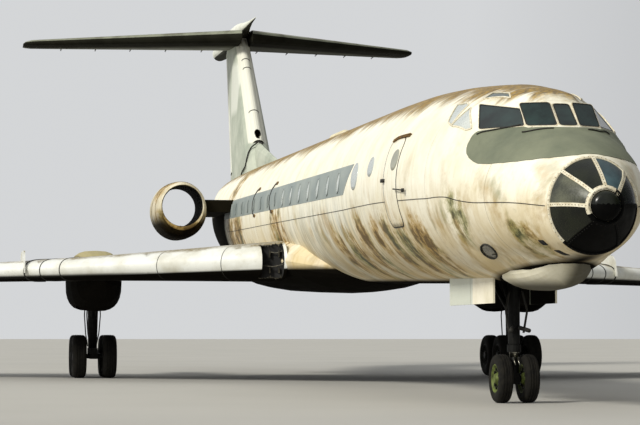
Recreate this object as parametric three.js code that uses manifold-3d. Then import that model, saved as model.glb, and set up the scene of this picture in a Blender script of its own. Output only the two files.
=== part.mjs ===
// Narrow body airliner with a glazed nose, a T tail and wing pods for its main gear.
// Millimetres, nose toward -Y, starboard toward -X, +Z up, standing on its wheels.
// Engines, rear cowls and the inner end of the starboard leading edge are missing.
import * as THREE from 'three';
import { mergeVertices } from 'three/addons/utils/BufferGeometryUtils.js';
import Module from 'manifold-3d';

const wasm = await Module();
wasm.setup();

// Stance: stations run aft from the nose tip, heights run up from the fuselage axis.
const MID_STATION = 18602.1;
const PIVOT_STATION = 16000;
const AXIS_HEIGHT = 3385;
const STANCE_DEG = 1.5;
const GAP = 0.3;
const DEG = Math.PI / 180;

// Fuselage
const TUBE_RADIUS = 1450;
const FUSELAGE_SEGMENTS = 48;
const NOSE_START = 600;
const BODY_COLUMNS = ['station', 'halfWidth', 'top', 'bottom'];
const BODY_ROWS = [
  [600, 568, 74, -1110],
  [780, 672, 165, -1135],
  [1000, 784, 275, -1160],
  [1250, 890, 380, -1185],
  [1500, 982, 475, -1215],
  [2000, 1112, 640, -1290],
  [2500, 1200, 860, -1360],
  [3000, 1265, 1100, -1410],
  [3600, 1351, 1226, -1450],
  [4400, 1419, 1300, -1450],
  [5400, 1449, 1370, -1450],
  [7000, 1450, 1432, -1450],
  [9000, 1450, 1450, -1450],
  [22000, 1450, 1450, -1450],
  [24500, 1430, 1450, -1400],
  [27000, 1310, 1445, -1170],
  [29500, 1060, 1440, -720],
  [31500, 780, 1430, -220],
  [33000, 520, 1400, 260],
  [34000, 300, 1300, 640],
  [34400, 130, 1120, 860],
];

// Cockpit roof, cut in front by flat window facets that meet at these corners: span, station, height
const ROOF_ROWS = [
  [1300, 760, 560, -1200],
  [1890, 950, 840, -1380],
  [2110, 1020, 980, -1400],
  [2400, 1080, 1040, -1425],
  [2700, 1190, 1100, -1437],
  [3000, 1285, 1145, -1445],
  [3600, 1340, 1232, -1448],
  [4400, 1385, 1262, -1400],
];
const SILL = { centre: [130, 1510, 500], quarter: [490, 1750, 505], side: [910, 2480, 510] };
const BROW = { centre: [120, 1890, 820], quarter: [490, 2110, 840], side: [770, 2970, 900] };
const FACET_BLOCK = 3000;
const PANE = { margin: 34, recess: 3, depth: 50, linkRadius: 14, linkDepth: 34 };

// Glazed nose
const GLASS_ROWS = [
  [90, 205, -340, -750],
  [250, 342, -186, -868],
  [420, 463, -56, -984],
  [NOSE_START - GAP, 548, 62, -1098],
];
const HUB_ROWS = [
  [0, 50, -495, -595],
  [12, 105, -440, -650],
  [40, 155, -390, -700],
  [90 - GAP, 182, -363, -727],
];
const NOSE_FRAME = { proud: 14, barWidth: 46, barReach: 800, frontWidth: 42, rearWidth: 40, centre: -532 };
const NOSE_BARS_DEG = [0, 45, 90, 135, 180, 235, 305];
const NOSE_SEGMENTS = 32;

// Plug doors in the front fuselage: side, station and height limits, set flush in the skin
const DOOR_DEPTH = 60;
const DOOR_GAP = 6;
const DOOR_CORNER = 130;
const DOOR_SPAN = { inner: 700, outer: 1600 };
const DOOR_COLUMNS = ['name', 'side', 'front', 'rear', 'foot', 'top'];
const DOOR_ROWS = [
  ['service_door_starboard', -1, 4960, 5760, -650, 600],
  ['entry_door_port', 1, 4700, 5420, -650, 960],
];

// Chin radome
const RADOME_ROWS = [
  [1300, 60, -1000, -1190],
  [1360, 170, -1000, -1260],
  [1500, 270, -1000, -1360],
  [1750, 370, -1000, -1460],
  [2050, 445, -1000, -1520],
  [2400, 500, -1000, -1543],
  [2850, 505, -1000, -1540],
  [3200, 460, -1000, -1500],
  [3420, 400, -1000, -1440],
];
const RADOME_SEGMENTS = 28;

// Wing
const WING_TIP = 14500;
const POD_CENTRE = 4700;
const WING_COLUMNS = ['span', 'leading', 'chord', 'height', 'thickness'];
const LEADING_SLOPE = Math.tan(37.53 * DEG);
const WING_DROP = Math.tan(2.37 * DEG);
const WING_ROOT_LEADING = 14418;
const WING_ROOT_HEIGHT = -1028;
const leadingEdge = (span) => WING_ROOT_LEADING + (span - TUBE_RADIUS) * LEADING_SLOPE;
const wingHeight = (span) => WING_ROOT_HEIGHT - (span - TUBE_RADIUS) * WING_DROP;
const WING_ROWS = [
  [600, leadingEdge(600), 7640, wingHeight(600), 0.115],
  [1450, leadingEdge(1450), 6900, wingHeight(1450), 0.115],
  [4700, leadingEdge(4700), 5200, wingHeight(4700), 0.097],
  [9600, leadingEdge(9600), 3710, wingHeight(9600), 0.076],
  [14100, leadingEdge(14100), 2340, wingHeight(14100), 0.08],
  [14380, leadingEdge(14380) + 160, 2000, wingHeight(14380), 0.06],
  [WING_TIP, leadingEdge(WING_TIP) + 520, 1350, wingHeight(WING_TIP), 0.035],
];
const TORN_EDGE = { inner: 1500, outer: 1880, depth: 620 };
const FENCE_SPANS = [6250, 9700];
const FENCE = { width: 30, above: 210, overhang: 90, chordShare: 0.62 };

// Moving surfaces on the wing: hinge line at a share of the chord, from span to span
const SURFACE_GAP = 14;
const SURFACE_END_GAP = 20;
const SURFACE_REACH = 3000;
const LIMIT_REACH = 1500;
const HINGE_PIN = { radius: 14, reach: 45, endGap: 1, segments: 12 };
const AILERON = { from: 10050, to: 13900, share: 0.74 };
const FLAPS = [
  { label: 'inner', from: 2260, to: 3900, share: 0.74 },
  { label: 'outer', from: 6000, to: 9480, share: 0.72 },
];

// Gear pods
const POD_ROWS = [
  [17900, 60, -1310, -1420],
  [18300, 290, -1040, -1640],
  [18900, 460, -860, -1880],
  [19700, 535, -780, -2060],
  [20900, 545, -760, -2130],
  [22200, 535, -810, -2090],
  [23400, 430, -930, -1930],
  [24600, 240, -1110, -1700],
  [25500, 60, -1300, -1450],
];

// Belly fairing under the wing
const FAIRING_ROWS = [
  [12300, 500, -1100, -1462],
  [13000, 1000, -800, -1530],
  [14000, 1450, -500, -1600],
  [15500, 1580, -380, -1640],
  [19000, 1580, -420, -1640],
  [20500, 1500, -520, -1630],
  [22000, 1330, -700, -1590],
  [23600, 900, -950, -1520],
  [24600, 450, -1150, -1455],
];

// Intake rings and pylons
const RING_SPAN = 2575;
const INTAKE = { radius: 455, height: 310 };
const RING_ROWS = [
  [22560, 490, 800, -240],
  [22640, 545, 845, -360],
  [22850, 585, 880, -425],
  [23400, 608, 905, -445],
  [24100, 615, 910, -450],
];
const RING_SEGMENTS = 36;
const PYLON = { front: 22780, rear: 26300, inner: 1150, height: 330, thickness: 280 };

// Fin, rudder, bullet fairing and tailplane
const FIN_COLUMNS = ['height', 'leading', 'trailing', 'thickness'];
const FIN_ROWS = [
  [1150, 27150, 33590, 0.12],
  [1530, 27540, 33720, 0.12],
  [3300, 29370, 34300, 0.12],
  [5200, 31340, 34940, 0.12],
  [5400, 31547, 35007, 0.12],
];
const FIN_EDGE = { foot: 2180, top: 5330, footRadius: 150, topRadius: 105, setBack: 95 };
const FIN_INTAKE = { height: 2450, radius: 75, rise: 50, depth: 420 };
const RUDDER = { foot: 1650, top: 5060, share: 0.7, endGap: 68 };
const FILLET_COLUMNS = ['station', 'halfWidth', 'top'];
const FILLET_ROWS = [
  [24500, 20, 1462],
  [25100, 60, 1590],
  [26300, 110, 1830],
  [27640, 150, 2110],
  [28600, 160, 2330],
];
const FILLET_FOOT = 1100;
const BULLET_ROWS = [
  [28940, 12, 5600, 5576],
  [29900, 52, 5640, 5530],
  [30900, 130, 5715, 5430],
  [31500, 200, 5780, 5340],
  [31900, 245, 5812, 5260],
  [32740, 275, 5815, 5180],
  [34540, 290, 5800, 5185],
  [35740, 265, 5765, 5240],
  [36590, 215, 5712, 5292],
  [36740, 165, 5662, 5342],
];
const BULLET_SEGMENTS = 28;
const TAIL_TIP = 5900;
const TAIL_ROWS = [
  [150, 30440, 3500, 5300, 0.11],
  [5650, 35700, 1640, 5614, 0.1],
  [5830, 35940, 1360, 5624, 0.07],
  [TAIL_TIP, 36290, 900, 5628, 0.04],
];
const ELEVATOR = { from: 570, to: 5420, share: 0.72, endGap: 46 };

// Roof aerial fairing
const AERIAL_ROWS = [
  [15500, 20, 1462, 1420],
  [15700, 90, 1530, 1400],
  [16200, 130, 1610, 1400],
  [17300, 130, 1610, 1400],
  [17800, 70, 1540, 1410],
  [18000, 15, 1466, 1420],
];

// Nose gear: heights from the ground from here on
const NOSE_GEAR = 4056;
const NOSE_WHEEL = { radius: 330, width: 200, spacing: 370, rim: 190 };
const NOSE_LEG = { radius: 82, foot: 800 };
const PISTON = { radius: 62, top: 1080 };
const NOSE_BAY = { front: 3560, rear: 5830, halfWidth: 396, ceiling: -1120 };
const NOSE_DOOR = { front: 3500, split: 4700, rear: 5880, offset: 430, foot: 1345, top: 2000, thickness: 26 };
const DOOR_HINGE = { height: 1640, radius: 15 };
const BRACE_RADIUS = 42;

// Main gear
const MAIN_GEAR = 20930;
const MAIN_WHEEL = { radius: 462, width: 300, spacing: 640, rim: 250 };
const AXLE_SPREAD = 1080;
const MAIN_LEG = { radius: 130, lower: 95, foot: 600, top: 2200, lean: 60 };
const MAIN_BRACE = { radius: 55, foot: 1250, reach: 1000 };
const BOGIE = { width: 150, height: 230, lift: 60, overhang: 100 };
const POD_BAY = { front: 19760, rear: 22240, halfWidth: 400, ceiling: -1560 };
const POD_SEGMENTS = 28;
const POD_SQUARENESS = 0.7;

const SIDES = [['starboard', -1], ['port', 1]];
const WHEEL_SEGMENTS = 24;
const AXLE = { radius: 45, segments: 32 };
const ROD_SEGMENTS = 16;

const paint = new THREE.MeshStandardMaterial({ color: 0xe4dec9, roughness: 0.7, metalness: 0.0 });
const greyPaint = new THREE.MeshStandardMaterial({ color: 0x8f9689, roughness: 0.7, metalness: 0.0 });
const radomePaint = new THREE.MeshStandardMaterial({ color: 0xd9d3b8, roughness: 0.6, metalness: 0.0 });
const blackPaint = new THREE.MeshStandardMaterial({ color: 0x1b1d1c, roughness: 0.5, metalness: 0.0 });
const darkGlass = new THREE.MeshStandardMaterial({ color: 0x2a302c, roughness: 0.15, metalness: 0.0 });
const steel = new THREE.MeshStandardMaterial({ color: 0x80847f, roughness: 0.5, metalness: 0.7 });
const rubber = new THREE.MeshStandardMaterial({ color: 0x262626, roughness: 0.9, metalness: 0.0 });

// Turns one table row into an object with the table's column names.
function named(columns, row) {
  return Object.fromEntries(columns.map((name, i) => [name, row[i]]));
}

// Closed solid through rings that hold the same number of points, with a flat cap at each end.
function loft(rings) {
  const count = rings[0].length;
  const positions = rings.flat().flatMap((p) => [p.x, p.y, p.z]);
  const index = [];
  for (let r = 0; r + 1 < rings.length; r += 1) {
    for (let k = 0; k < count; k += 1) {
      const a = r * count + k;
      const b = r * count + ((k + 1) % count);
      index.push(a, b, a + count, b, b + count, a + count);
    }
  }
  [0, rings.length - 1].forEach((r) => {
    const middle = rings[r].reduce((sum, p) => sum.add(p), new THREE.Vector3()).divideScalar(count);
    const hub = positions.length / 3;
    positions.push(middle.x, middle.y, middle.z);
    for (let k = 0; k < count; k += 1) {
      const a = r * count + k;
      const b = r * count + ((k + 1) % count);
      if (r === 0) index.push(hub, b, a);
      else index.push(hub, a, b);
    }
  });
  const geometry = new THREE.BufferGeometry();
  geometry.setAttribute('position', new THREE.Float32BufferAttribute(positions, 3));
  geometry.setIndex(index);
  return solid(geometry);
}

// Manifold solid of a geometry, turned right side out where needed.
function solid(geometry) {
  const clean = geometry.clone();
  clean.deleteAttribute('normal');
  clean.deleteAttribute('uv');
  const merged = mergeVertices(clean, 1e-3);
  const triangles = Uint32Array.from(merged.index.array);
  const points = merged.attributes.position.array;
  if (signedVolume(points, triangles) < 0) {
    for (let i = 0; i < triangles.length; i += 3) {
      [triangles[i], triangles[i + 1]] = [triangles[i + 1], triangles[i]];
    }
  }
  return new wasm.Manifold(new wasm.Mesh({ numProp: 3, vertProperties: points, triVerts: triangles }));
}

function signedVolume(points, triangles) {
  const [a, b, c] = [new THREE.Vector3(), new THREE.Vector3(), new THREE.Vector3()];
  let total = 0;
  for (let i = 0; i < triangles.length; i += 3) {
    a.fromArray(points, triangles[i] * 3);
    b.fromArray(points, triangles[i + 1] * 3);
    c.fromArray(points, triangles[i + 2] * 3);
    total += a.dot(b.cross(c));
  }
  return total / 6;
}

// Oval ring in a plane of constant station, about an off-centre span position. A power under 1 squares it up.
function ovalRing(row, segments, grow = 0, centre = 0, power = 1) {
  const { station, halfWidth, top, bottom } = named(BODY_COLUMNS, row);
  const middle = (top + bottom) / 2;
  const halfHeight = (top - bottom) / 2 + grow;
  return Array.from({ length: segments }, (_, k) => {
    const angle = (k / segments) * 2 * Math.PI;
    const [across, up] = [Math.cos(angle), Math.sin(angle)].map((v) => Math.sign(v) * Math.abs(v) ** power);
    return new THREE.Vector3(centre + (halfWidth + grow) * across, station, middle + halfHeight * up);
  });
}

function ovalBody(rows, segments, grow, centre, power) {
  return loft(rows.map((row) => ovalRing(row, segments, grow, centre, power)));
}

// Share of the chord and half thickness along an aerofoil, from the nose round to the nose.
const FOIL_SHARES = [0, 0.004, 0.02, 0.07, 0.2, 0.42, 0.6, 0.78, 0.92, 1];
const TRAILING_HALF = 4;
const BLUNT = { share: 0.3, power: 7 };
function foilHalf(share, thickness) {
  const root = 0.2969 * Math.sqrt(share);
  const rest = -0.126 * share - 0.3516 * share ** 2 + 0.2843 * share ** 3 - 0.1036 * share ** 4;
  const slim = 5 * thickness * (root + rest);
  if (share > BLUNT.share) return slim;
  const blunt = (thickness / 2) * Math.sqrt(1 - (1 - share / BLUNT.share) ** BLUNT.power);
  return Math.max(slim, blunt);
}

function foilOutline(chord, thickness, grow) {
  const half = (share) => foilHalf(share, thickness) * chord + grow + TRAILING_HALF * share;
  const upper = FOIL_SHARES.map((share) => [share * chord, half(share)]);
  const lower = FOIL_SHARES.slice(1).map((share) => [share * chord, -half(share)]).reverse();
  upper[0] = [-2 * grow, 0];
  upper.at(-1)[0] += grow;
  lower[0][0] += grow;
  return [...upper, ...lower];
}

// Wing-like solid lofted along the span, for one side.
function wingSolid(rows, side, grow = 0) {
  return loft(rows.map((row) => {
    const { span, leading, chord, height, thickness } = named(WING_COLUMNS, row);
    return foilOutline(chord, thickness, grow)
      .map(([along, up]) => new THREE.Vector3(side * span, leading + along, height + up));
  }));
}

// Value of a wing table column at any span, by straight lines between its rows.
function along(rows, columns, key, at, name) {
  const table = rows.map((row) => named(columns, row));
  const next = Math.max(1, table.findIndex((row) => row[key] >= at));
  const [low, high] = [table[next - 1], table[next]];
  const share = (at - low[key]) / (high[key] - low[key]);
  return low[name] + (high[name] - low[name]) * share;
}

// Point and half thickness on a wing's hinge line at one span.
function hingePoint(rows, side, span, share) {
  const read = (name) => along(rows, WING_COLUMNS, 'span', span, name);
  const chord = read('chord');
  const point = new THREE.Vector3(side * span, read('leading') + chord * share, read('height'));
  return { point, half: foilHalf(share, read('thickness')) * chord };
}

// Rod between two points, tapering from one radius to the other.
function rod(from, to, radiusFrom, radiusTo = radiusFrom, segments = ROD_SEGMENTS) {
  const length = from.distanceTo(to);
  const geometry = new THREE.CylinderGeometry(radiusTo, radiusFrom, length, segments);
  const turn = new THREE.Quaternion().setFromUnitVectors(
    new THREE.Vector3(0, 1, 0), to.clone().sub(from).normalize());
  geometry.applyQuaternion(turn);
  geometry.translate(...from.clone().add(to).multiplyScalar(0.5).toArray());
  return solid(geometry);
}

function block(x, y, z, width, depth, height) {
  const geometry = new THREE.BoxGeometry(width, depth, height);
  geometry.translate(x, y, z);
  return solid(geometry);
}

// Box that starts on a line, runs along it, and reaches aft of it in the plane of the surface.
function hingeBox(from, to, aft, ends, ahead, reach) {
  const run = to.clone().sub(from);
  const length = run.length();
  const u = run.normalize();
  const v = aft.clone().addScaledVector(u, -aft.dot(u)).normalize();
  const w = u.clone().cross(v);
  const geometry = new THREE.BoxGeometry(length + 2 * ends, reach + ahead, 2 * reach);
  geometry.applyMatrix4(new THREE.Matrix4().makeBasis(u, v, w));
  const centre = from.clone().addScaledVector(u, length / 2).addScaledVector(v, (reach - ahead) / 2);
  geometry.translate(...centre.toArray());
  return solid(geometry);
}

const AFT = new THREE.Vector3(0, 1, 0);

// Radius of a faceted bore that a faceted shaft can turn in, GAP clear of it.
const boreFor = (radius, segments) => (radius + GAP) / Math.cos(Math.PI / segments);

// Splits a moving surface with a round nose and hinge pins off a fixed one. Its inner end is square to the
// hinge, or follows a limit that gives the space beyond a plane. There the gap has room for a thick nose
// to dip past the plane as it turns.
function splitSurface(fixed, inner, outer, limit = null, limitGap = 0) {
  const clear = Math.max(inner.half, outer.half) + SURFACE_GAP;
  const run = outer.point.clone().sub(inner.point).normalize();
  const start = inner.point.clone().addScaledVector(run, limit ? -LIMIT_REACH : 0);
  const noseStart = inner.point.clone().addScaledVector(run, limit ? -inner.half : 0);
  let inside = hingeBox(start, outer.point, AFT, 0, 0, SURFACE_REACH);
  let outside = hingeBox(start, outer.point, AFT, SURFACE_END_GAP, clear, SURFACE_REACH);
  let nose = rod(noseStart, outer.point, inner.half, outer.half, HINGE_PIN.segments);
  if (limit) {
    inside = inside.intersect(limit(0));
    outside = outside.intersect(limit(limitGap));
    nose = nose.intersect(limit(0));
  }
  const from = inner.point.clone().addScaledVector(run, -HINGE_PIN.reach - limitGap);
  const to = outer.point.clone().addScaledVector(run, HINGE_PIN.reach);
  const pin = rod(from, to, HINGE_PIN.radius, HINGE_PIN.radius, HINGE_PIN.segments);
  const boreRadius = boreFor(HINGE_PIN.radius, HINGE_PIN.segments);
  from.addScaledVector(run, -HINGE_PIN.endGap);
  to.addScaledVector(run, HINGE_PIN.endGap);
  const bore = rod(from, to, boreRadius, boreRadius, HINGE_PIN.segments);
  return { fixed: fixed.subtract(outside).subtract(bore), moving: fixed.intersect(inside).add(nose).add(pin) };
}

function meshOf(name, body, material) {
  const source = body.getMesh();
  const geometry = new THREE.BufferGeometry();
  const points = Float32Array.from(source.vertProperties);
  geometry.setAttribute('position', new THREE.BufferAttribute(points, 3));
  geometry.setIndex(new THREE.BufferAttribute(Uint32Array.from(source.triVerts), 1));
  geometry.computeVertexNormals();
  const mesh = new THREE.Mesh(geometry, material);
  mesh.name = name;
  return mesh;
}

// Airframe group: tilted nose down about its pivot station.
const airframe = new THREE.Group();
airframe.name = 'airframe_group';
const gear = new THREE.Group();
gear.name = 'gear_group';

const pointOf = ([x, station, height], side = 1) => new THREE.Vector3(side * x, station, height);

// Corners of the cockpit's flat window facets, from one side round to the other.
const sideFacet = (side) => [SILL.quarter, SILL.side, BROW.side, BROW.quarter].map((corner) => pointOf(corner, side));
const quarterFacet = (side) => [SILL.centre, SILL.quarter, BROW.quarter, BROW.centre].map((corner) => pointOf(corner, side));
const CENTRE_FACET = [pointOf(SILL.centre, -1), pointOf(SILL.centre), pointOf(BROW.centre), pointOf(BROW.centre, -1)];
const FACETS = [sideFacet(-1), quarterFacet(-1), CENTRE_FACET, quarterFacet(1), sideFacet(1)];

// Directions along and across a facet, with its normal outward.
function facetBasis([a, b, c]) {
  const u = b.clone().sub(a).normalize();
  const normal = u.clone().cross(c.clone().sub(a)).normalize();
  if (normal.y > 0) normal.negate();
  return { u, v: normal.clone().cross(u), normal };
}

// Block whose near face lies on a facet's plane, moved out by grow.
function facetBlock(corners, grow) {
  const { u, v, normal } = facetBasis(corners);
  const geometry = new THREE.BoxGeometry(FACET_BLOCK, FACET_BLOCK, FACET_BLOCK);
  geometry.applyMatrix4(new THREE.Matrix4().makeBasis(u, v, normal));
  const middle = corners[0].clone().add(corners[1]).add(corners[2]).divideScalar(3);
  geometry.translate(...middle.addScaledVector(normal, FACET_BLOCK / 2 + grow).toArray());
  return solid(geometry);
}

// Convex outline moved in by a margin: each corner is where its two moved edges meet.
function insetOutline(points, margin) {
  const count = points.length;
  const middle = points.reduce((sum, p) => sum.add(p), new THREE.Vector2()).divideScalar(count);
  const edges = points.map((a, i) => {
    const b = points[(i + 1) % count];
    const normal = new THREE.Vector2(a.y - b.y, b.x - a.x).normalize();
    if (normal.dot(middle.clone().sub(a)) < 0) normal.negate();
    return { normal, offset: normal.dot(a) + margin };
  });
  return points.map((_, i) => {
    const [p, q] = [edges[(i + count - 1) % count], edges[i]];
    const det = p.normal.x * q.normal.y - p.normal.y * q.normal.x;
    const x = (p.offset * q.normal.y - q.offset * p.normal.y) / det;
    const y = (q.offset * p.normal.x - p.offset * q.normal.x) / det;
    return new THREE.Vector2(x, y);
  });
}

// Flat pane in a facet, from a height over its plane down to a depth under it.
function paneSolid(corners, margin, above, depth) {
  const { u, v, normal } = facetBasis(corners);
  const origin = corners[0];
  const flat = corners.map((corner) => {
    const from = corner.clone().sub(origin);
    return new THREE.Vector2(from.dot(u), from.dot(v));
  });
  const outline = insetOutline(flat, margin);
  const ring = (rise) => outline.map((p) => origin.clone()
    .addScaledVector(u, p.x).addScaledVector(v, p.y).addScaledVector(normal, rise));
  return loft([ring(above), ring(-depth)]);
}

// Panes of the cockpit, joined out of sight by links behind the posts between them.
function cockpitPanes(grow, above) {
  const linkEnd = (corners) => {
    const middle = corners.reduce((sum, p) => sum.add(p), new THREE.Vector3()).divideScalar(corners.length);
    return middle.addScaledVector(facetBasis(corners).normal, -PANE.linkDepth);
  };
  const radius = grow > 0 ? boreFor(PANE.linkRadius, ROD_SEGMENTS) : PANE.linkRadius;
  let panes = paneSolid(FACETS[0], PANE.margin - grow, above, PANE.depth + grow);
  FACETS.slice(1).forEach((corners, i) => {
    panes = panes.add(paneSolid(corners, PANE.margin - grow, above, PANE.depth + grow));
    panes = panes.add(rod(linkEnd(FACETS[i]), linkEnd(corners), radius));
  });
  return panes;
}

function fuselageSolid(grow) {
  let roof = ovalBody(ROOF_ROWS, FUSELAGE_SEGMENTS, grow);
  FACETS.forEach((corners) => { roof = roof.subtract(facetBlock(corners, grow)); });
  return ovalBody(BODY_ROWS, FUSELAGE_SEGMENTS, grow).add(roof);
}

const fairingSolid = (grow) => ovalBody(FAIRING_ROWS, FUSELAGE_SEGMENTS / 2, grow);
const skin = fuselageSolid(GAP);

// Space over the open nose gear bay, up to its ceiling.
function noseBay(grow) {
  const length = NOSE_BAY.rear - NOSE_BAY.front;
  const height = TUBE_RADIUS;
  return block(0, NOSE_BAY.front + length / 2, NOSE_BAY.ceiling - height / 2 - grow,
    2 * (NOSE_BAY.halfWidth - grow), length - 2 * grow, height);
}

// Rounded rectangle of a door in the plane of station and height, as a slab from the door's inner span out.
function doorSlab({ side, front, rear, foot, top }, grow) {
  const width = DOOR_SPAN.outer - DOOR_SPAN.inner;
  const x = side * (DOOR_SPAN.inner + width / 2);
  const radius = DOOR_CORNER + grow;
  const [length, height] = [rear - front + 2 * grow, top - foot + 2 * grow];
  const [station, middle] = [(front + rear) / 2, (foot + top) / 2];
  let slab = block(x, station, middle, width, length - 2 * radius, height);
  slab = slab.add(block(x, station, middle, width, length, height - 2 * radius));
  [-1, 1].forEach((along) => [-1, 1].forEach((up) => {
    const corner = new THREE.Vector3(x - width / 2, station + along * (length / 2 - radius), middle + up * (height / 2 - radius));
    slab = slab.add(rod(corner, corner.clone().setX(x + width / 2), radius));
  }));
  return slab;
}

function buildDoors(fuselage) {
  const floor = ovalBody(BODY_ROWS, FUSELAGE_SEGMENTS, -DOOR_DEPTH);
  const pocketFloor = ovalBody(BODY_ROWS, FUSELAGE_SEGMENTS, -DOOR_DEPTH - GAP);
  DOOR_ROWS.map((row) => named(DOOR_COLUMNS, row)).forEach((door) => {
    airframe.add(meshOf(door.name, fuselageSolid(0).intersect(doorSlab(door, 0)).subtract(floor), paint));
    fuselage = fuselage.subtract(doorSlab(door, DOOR_GAP).subtract(pocketFloor));
  });
  return fuselage;
}

// Bars and end rings over the nose glazing.
function buildNoseFrame() {
  const [first, last] = [GLASS_ROWS[0], GLASS_ROWS.at(-1)];
  const longer = [[first[0] - 10, ...first.slice(1)], ...GLASS_ROWS, [last[0] + 10, ...last.slice(1)]];
  const shell = ovalBody(GLASS_ROWS, NOSE_SEGMENTS, NOSE_FRAME.proud).subtract(ovalBody(longer, NOSE_SEGMENTS, GAP));
  const { barWidth, barReach, frontWidth, rearWidth, centre } = NOSE_FRAME;
  let bars = block(0, first[0] + frontWidth / 2, centre, 2 * barReach, frontWidth, 2 * barReach);
  bars = bars.add(block(0, last[0] - rearWidth / 2, centre, 2 * barReach, rearWidth, 2 * barReach));
  NOSE_BARS_DEG.forEach((degrees) => {
    const bar = new THREE.BoxGeometry(barReach, barReach, barWidth);
    bar.translate(barReach / 2, 0, 0);
    bar.rotateY(-degrees * DEG);
    bar.translate(0, (first[0] + last[0]) / 2, centre);
    bars = bars.add(solid(bar));
  });
  airframe.add(meshOf('nose_frame', shell.intersect(bars), paint));
}

function buildBody() {
  let fuselage = fuselageSolid(0).subtract(cockpitPanes(GAP, PANE.depth)).subtract(noseBay(0));
  fuselage = buildDoors(fuselage);
  airframe.add(meshOf('fuselage', fuselage, paint));
  airframe.add(meshOf('cockpit_glazing', cockpitPanes(0, -PANE.recess), darkGlass));
  airframe.add(meshOf('belly_fairing', fairingSolid(0).subtract(skin), paint));
  airframe.add(meshOf('nose_glazing', ovalBody(GLASS_ROWS, NOSE_SEGMENTS), darkGlass));
  airframe.add(meshOf('nose_hub', ovalBody(HUB_ROWS, NOSE_SEGMENTS), blackPaint));
  buildNoseFrame();
  airframe.add(meshOf('chin_radome', ovalBody(RADOME_ROWS, RADOME_SEGMENTS).subtract(skin), radomePaint));
  airframe.add(meshOf('roof_aerial_fairing', ovalBody(AERIAL_ROWS, 16).subtract(skin), paint));
}

function fences(side) {
  return FENCE_SPANS.map((span) => {
    const leading = leadingEdge(span) - FENCE.overhang;
    const chord = along(WING_ROWS, WING_COLUMNS, 'span', span, 'chord');
    const length = chord * FENCE.chordShare;
    const height = wingHeight(span) + FENCE.above / 2;
    return block(side * span, leading + length / 2, height, FENCE.width, length, FENCE.above + 260);
  });
}

// Gear pod with its open bay, which the grow keeps narrower.
function podSolid(side, grow) {
  const length = POD_BAY.rear - POD_BAY.front;
  const height = TUBE_RADIUS;
  const bay = block(side * POD_CENTRE, POD_BAY.front + length / 2, POD_BAY.ceiling - height / 2 - grow,
    2 * (POD_BAY.halfWidth - grow), length - 2 * grow, height);
  return ovalBody(POD_ROWS, POD_SEGMENTS, grow, side * POD_CENTRE, POD_SQUARENESS).subtract(bay);
}

function buildWing(label, side) {
  let wing = wingSolid(WING_ROWS, side).subtract(skin).subtract(fairingSolid(GAP));
  wing = wing.subtract(block(0, PIVOT_STATION + 4000, 0, 2 * TUBE_RADIUS - 100, 16000, 6000));
  const moving = [{ label: 'aileron', ...AILERON }, ...FLAPS.map((f) => ({ ...f, label: `flap_${f.label}` }))];
  moving.forEach((surface) => {
    const inner = hingePoint(WING_ROWS, side, surface.from, surface.share);
    const outer = hingePoint(WING_ROWS, side, surface.to, surface.share);
    const parts = splitSurface(wing, inner, outer);
    wing = parts.fixed;
    airframe.add(meshOf(`${surface.label}_${label}`, parts.moving, paint));
  });
  fences(side).forEach((fence) => { wing = wing.add(fence); });
  if (side < 0) {
    const width = TORN_EDGE.outer - TORN_EDGE.inner;
    const middle = (TORN_EDGE.outer + TORN_EDGE.inner) / 2;
    wing = wing.subtract(block(-middle, leadingEdge(middle), wingHeight(middle), width, TORN_EDGE.depth, 1200));
  }
  const pod = podSolid(side, 0).subtract(wingSolid(WING_ROWS, side, GAP));
  airframe.add(meshOf(`wing_${label}`, wing, paint));
  airframe.add(meshOf(`gear_pod_${label}`, pod, paint));
}

function buildIntake(label, side) {
  const centre = side * RING_SPAN;
  const outside = ovalBody(RING_ROWS, RING_SEGMENTS, 0, centre);
  const front = new THREE.Vector3(centre, RING_ROWS[0][0] - 50, INTAKE.height);
  const rear = new THREE.Vector3(centre, RING_ROWS.at(-1)[0] + 50, INTAKE.height);
  const bore = rod(front, rear, INTAKE.radius, INTAKE.radius, RING_SEGMENTS);
  airframe.add(meshOf(`intake_ring_${label}`, outside.subtract(bore), greyPaint));
  const width = RING_SPAN - PYLON.inner;
  const length = PYLON.rear - PYLON.front;
  let pylon = block(side * (PYLON.inner + width / 2), PYLON.front + length / 2, PYLON.height,
    width, length, PYLON.thickness);
  const grown = ovalBody(RING_ROWS, RING_SEGMENTS, GAP, centre);
  const tail = block(centre, RING_ROWS.at(-1)[0] + 1980, INTAKE.height, 1400, 4000, 2200);
  pylon = pylon.subtract(grown).subtract(tail).subtract(skin);
  airframe.add(meshOf(`pylon_${label}`, pylon, paint));
}

// Place on the fin at a height and a share of its chord.
function finPoint(height, share) {
  const read = (name) => along(FIN_ROWS, FIN_COLUMNS, 'height', height, name);
  const chord = read('trailing') - read('leading');
  const point = new THREE.Vector3(0, read('leading') + chord * share, height);
  return { point, half: foilHalf(share, read('thickness')) * chord };
}

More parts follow.
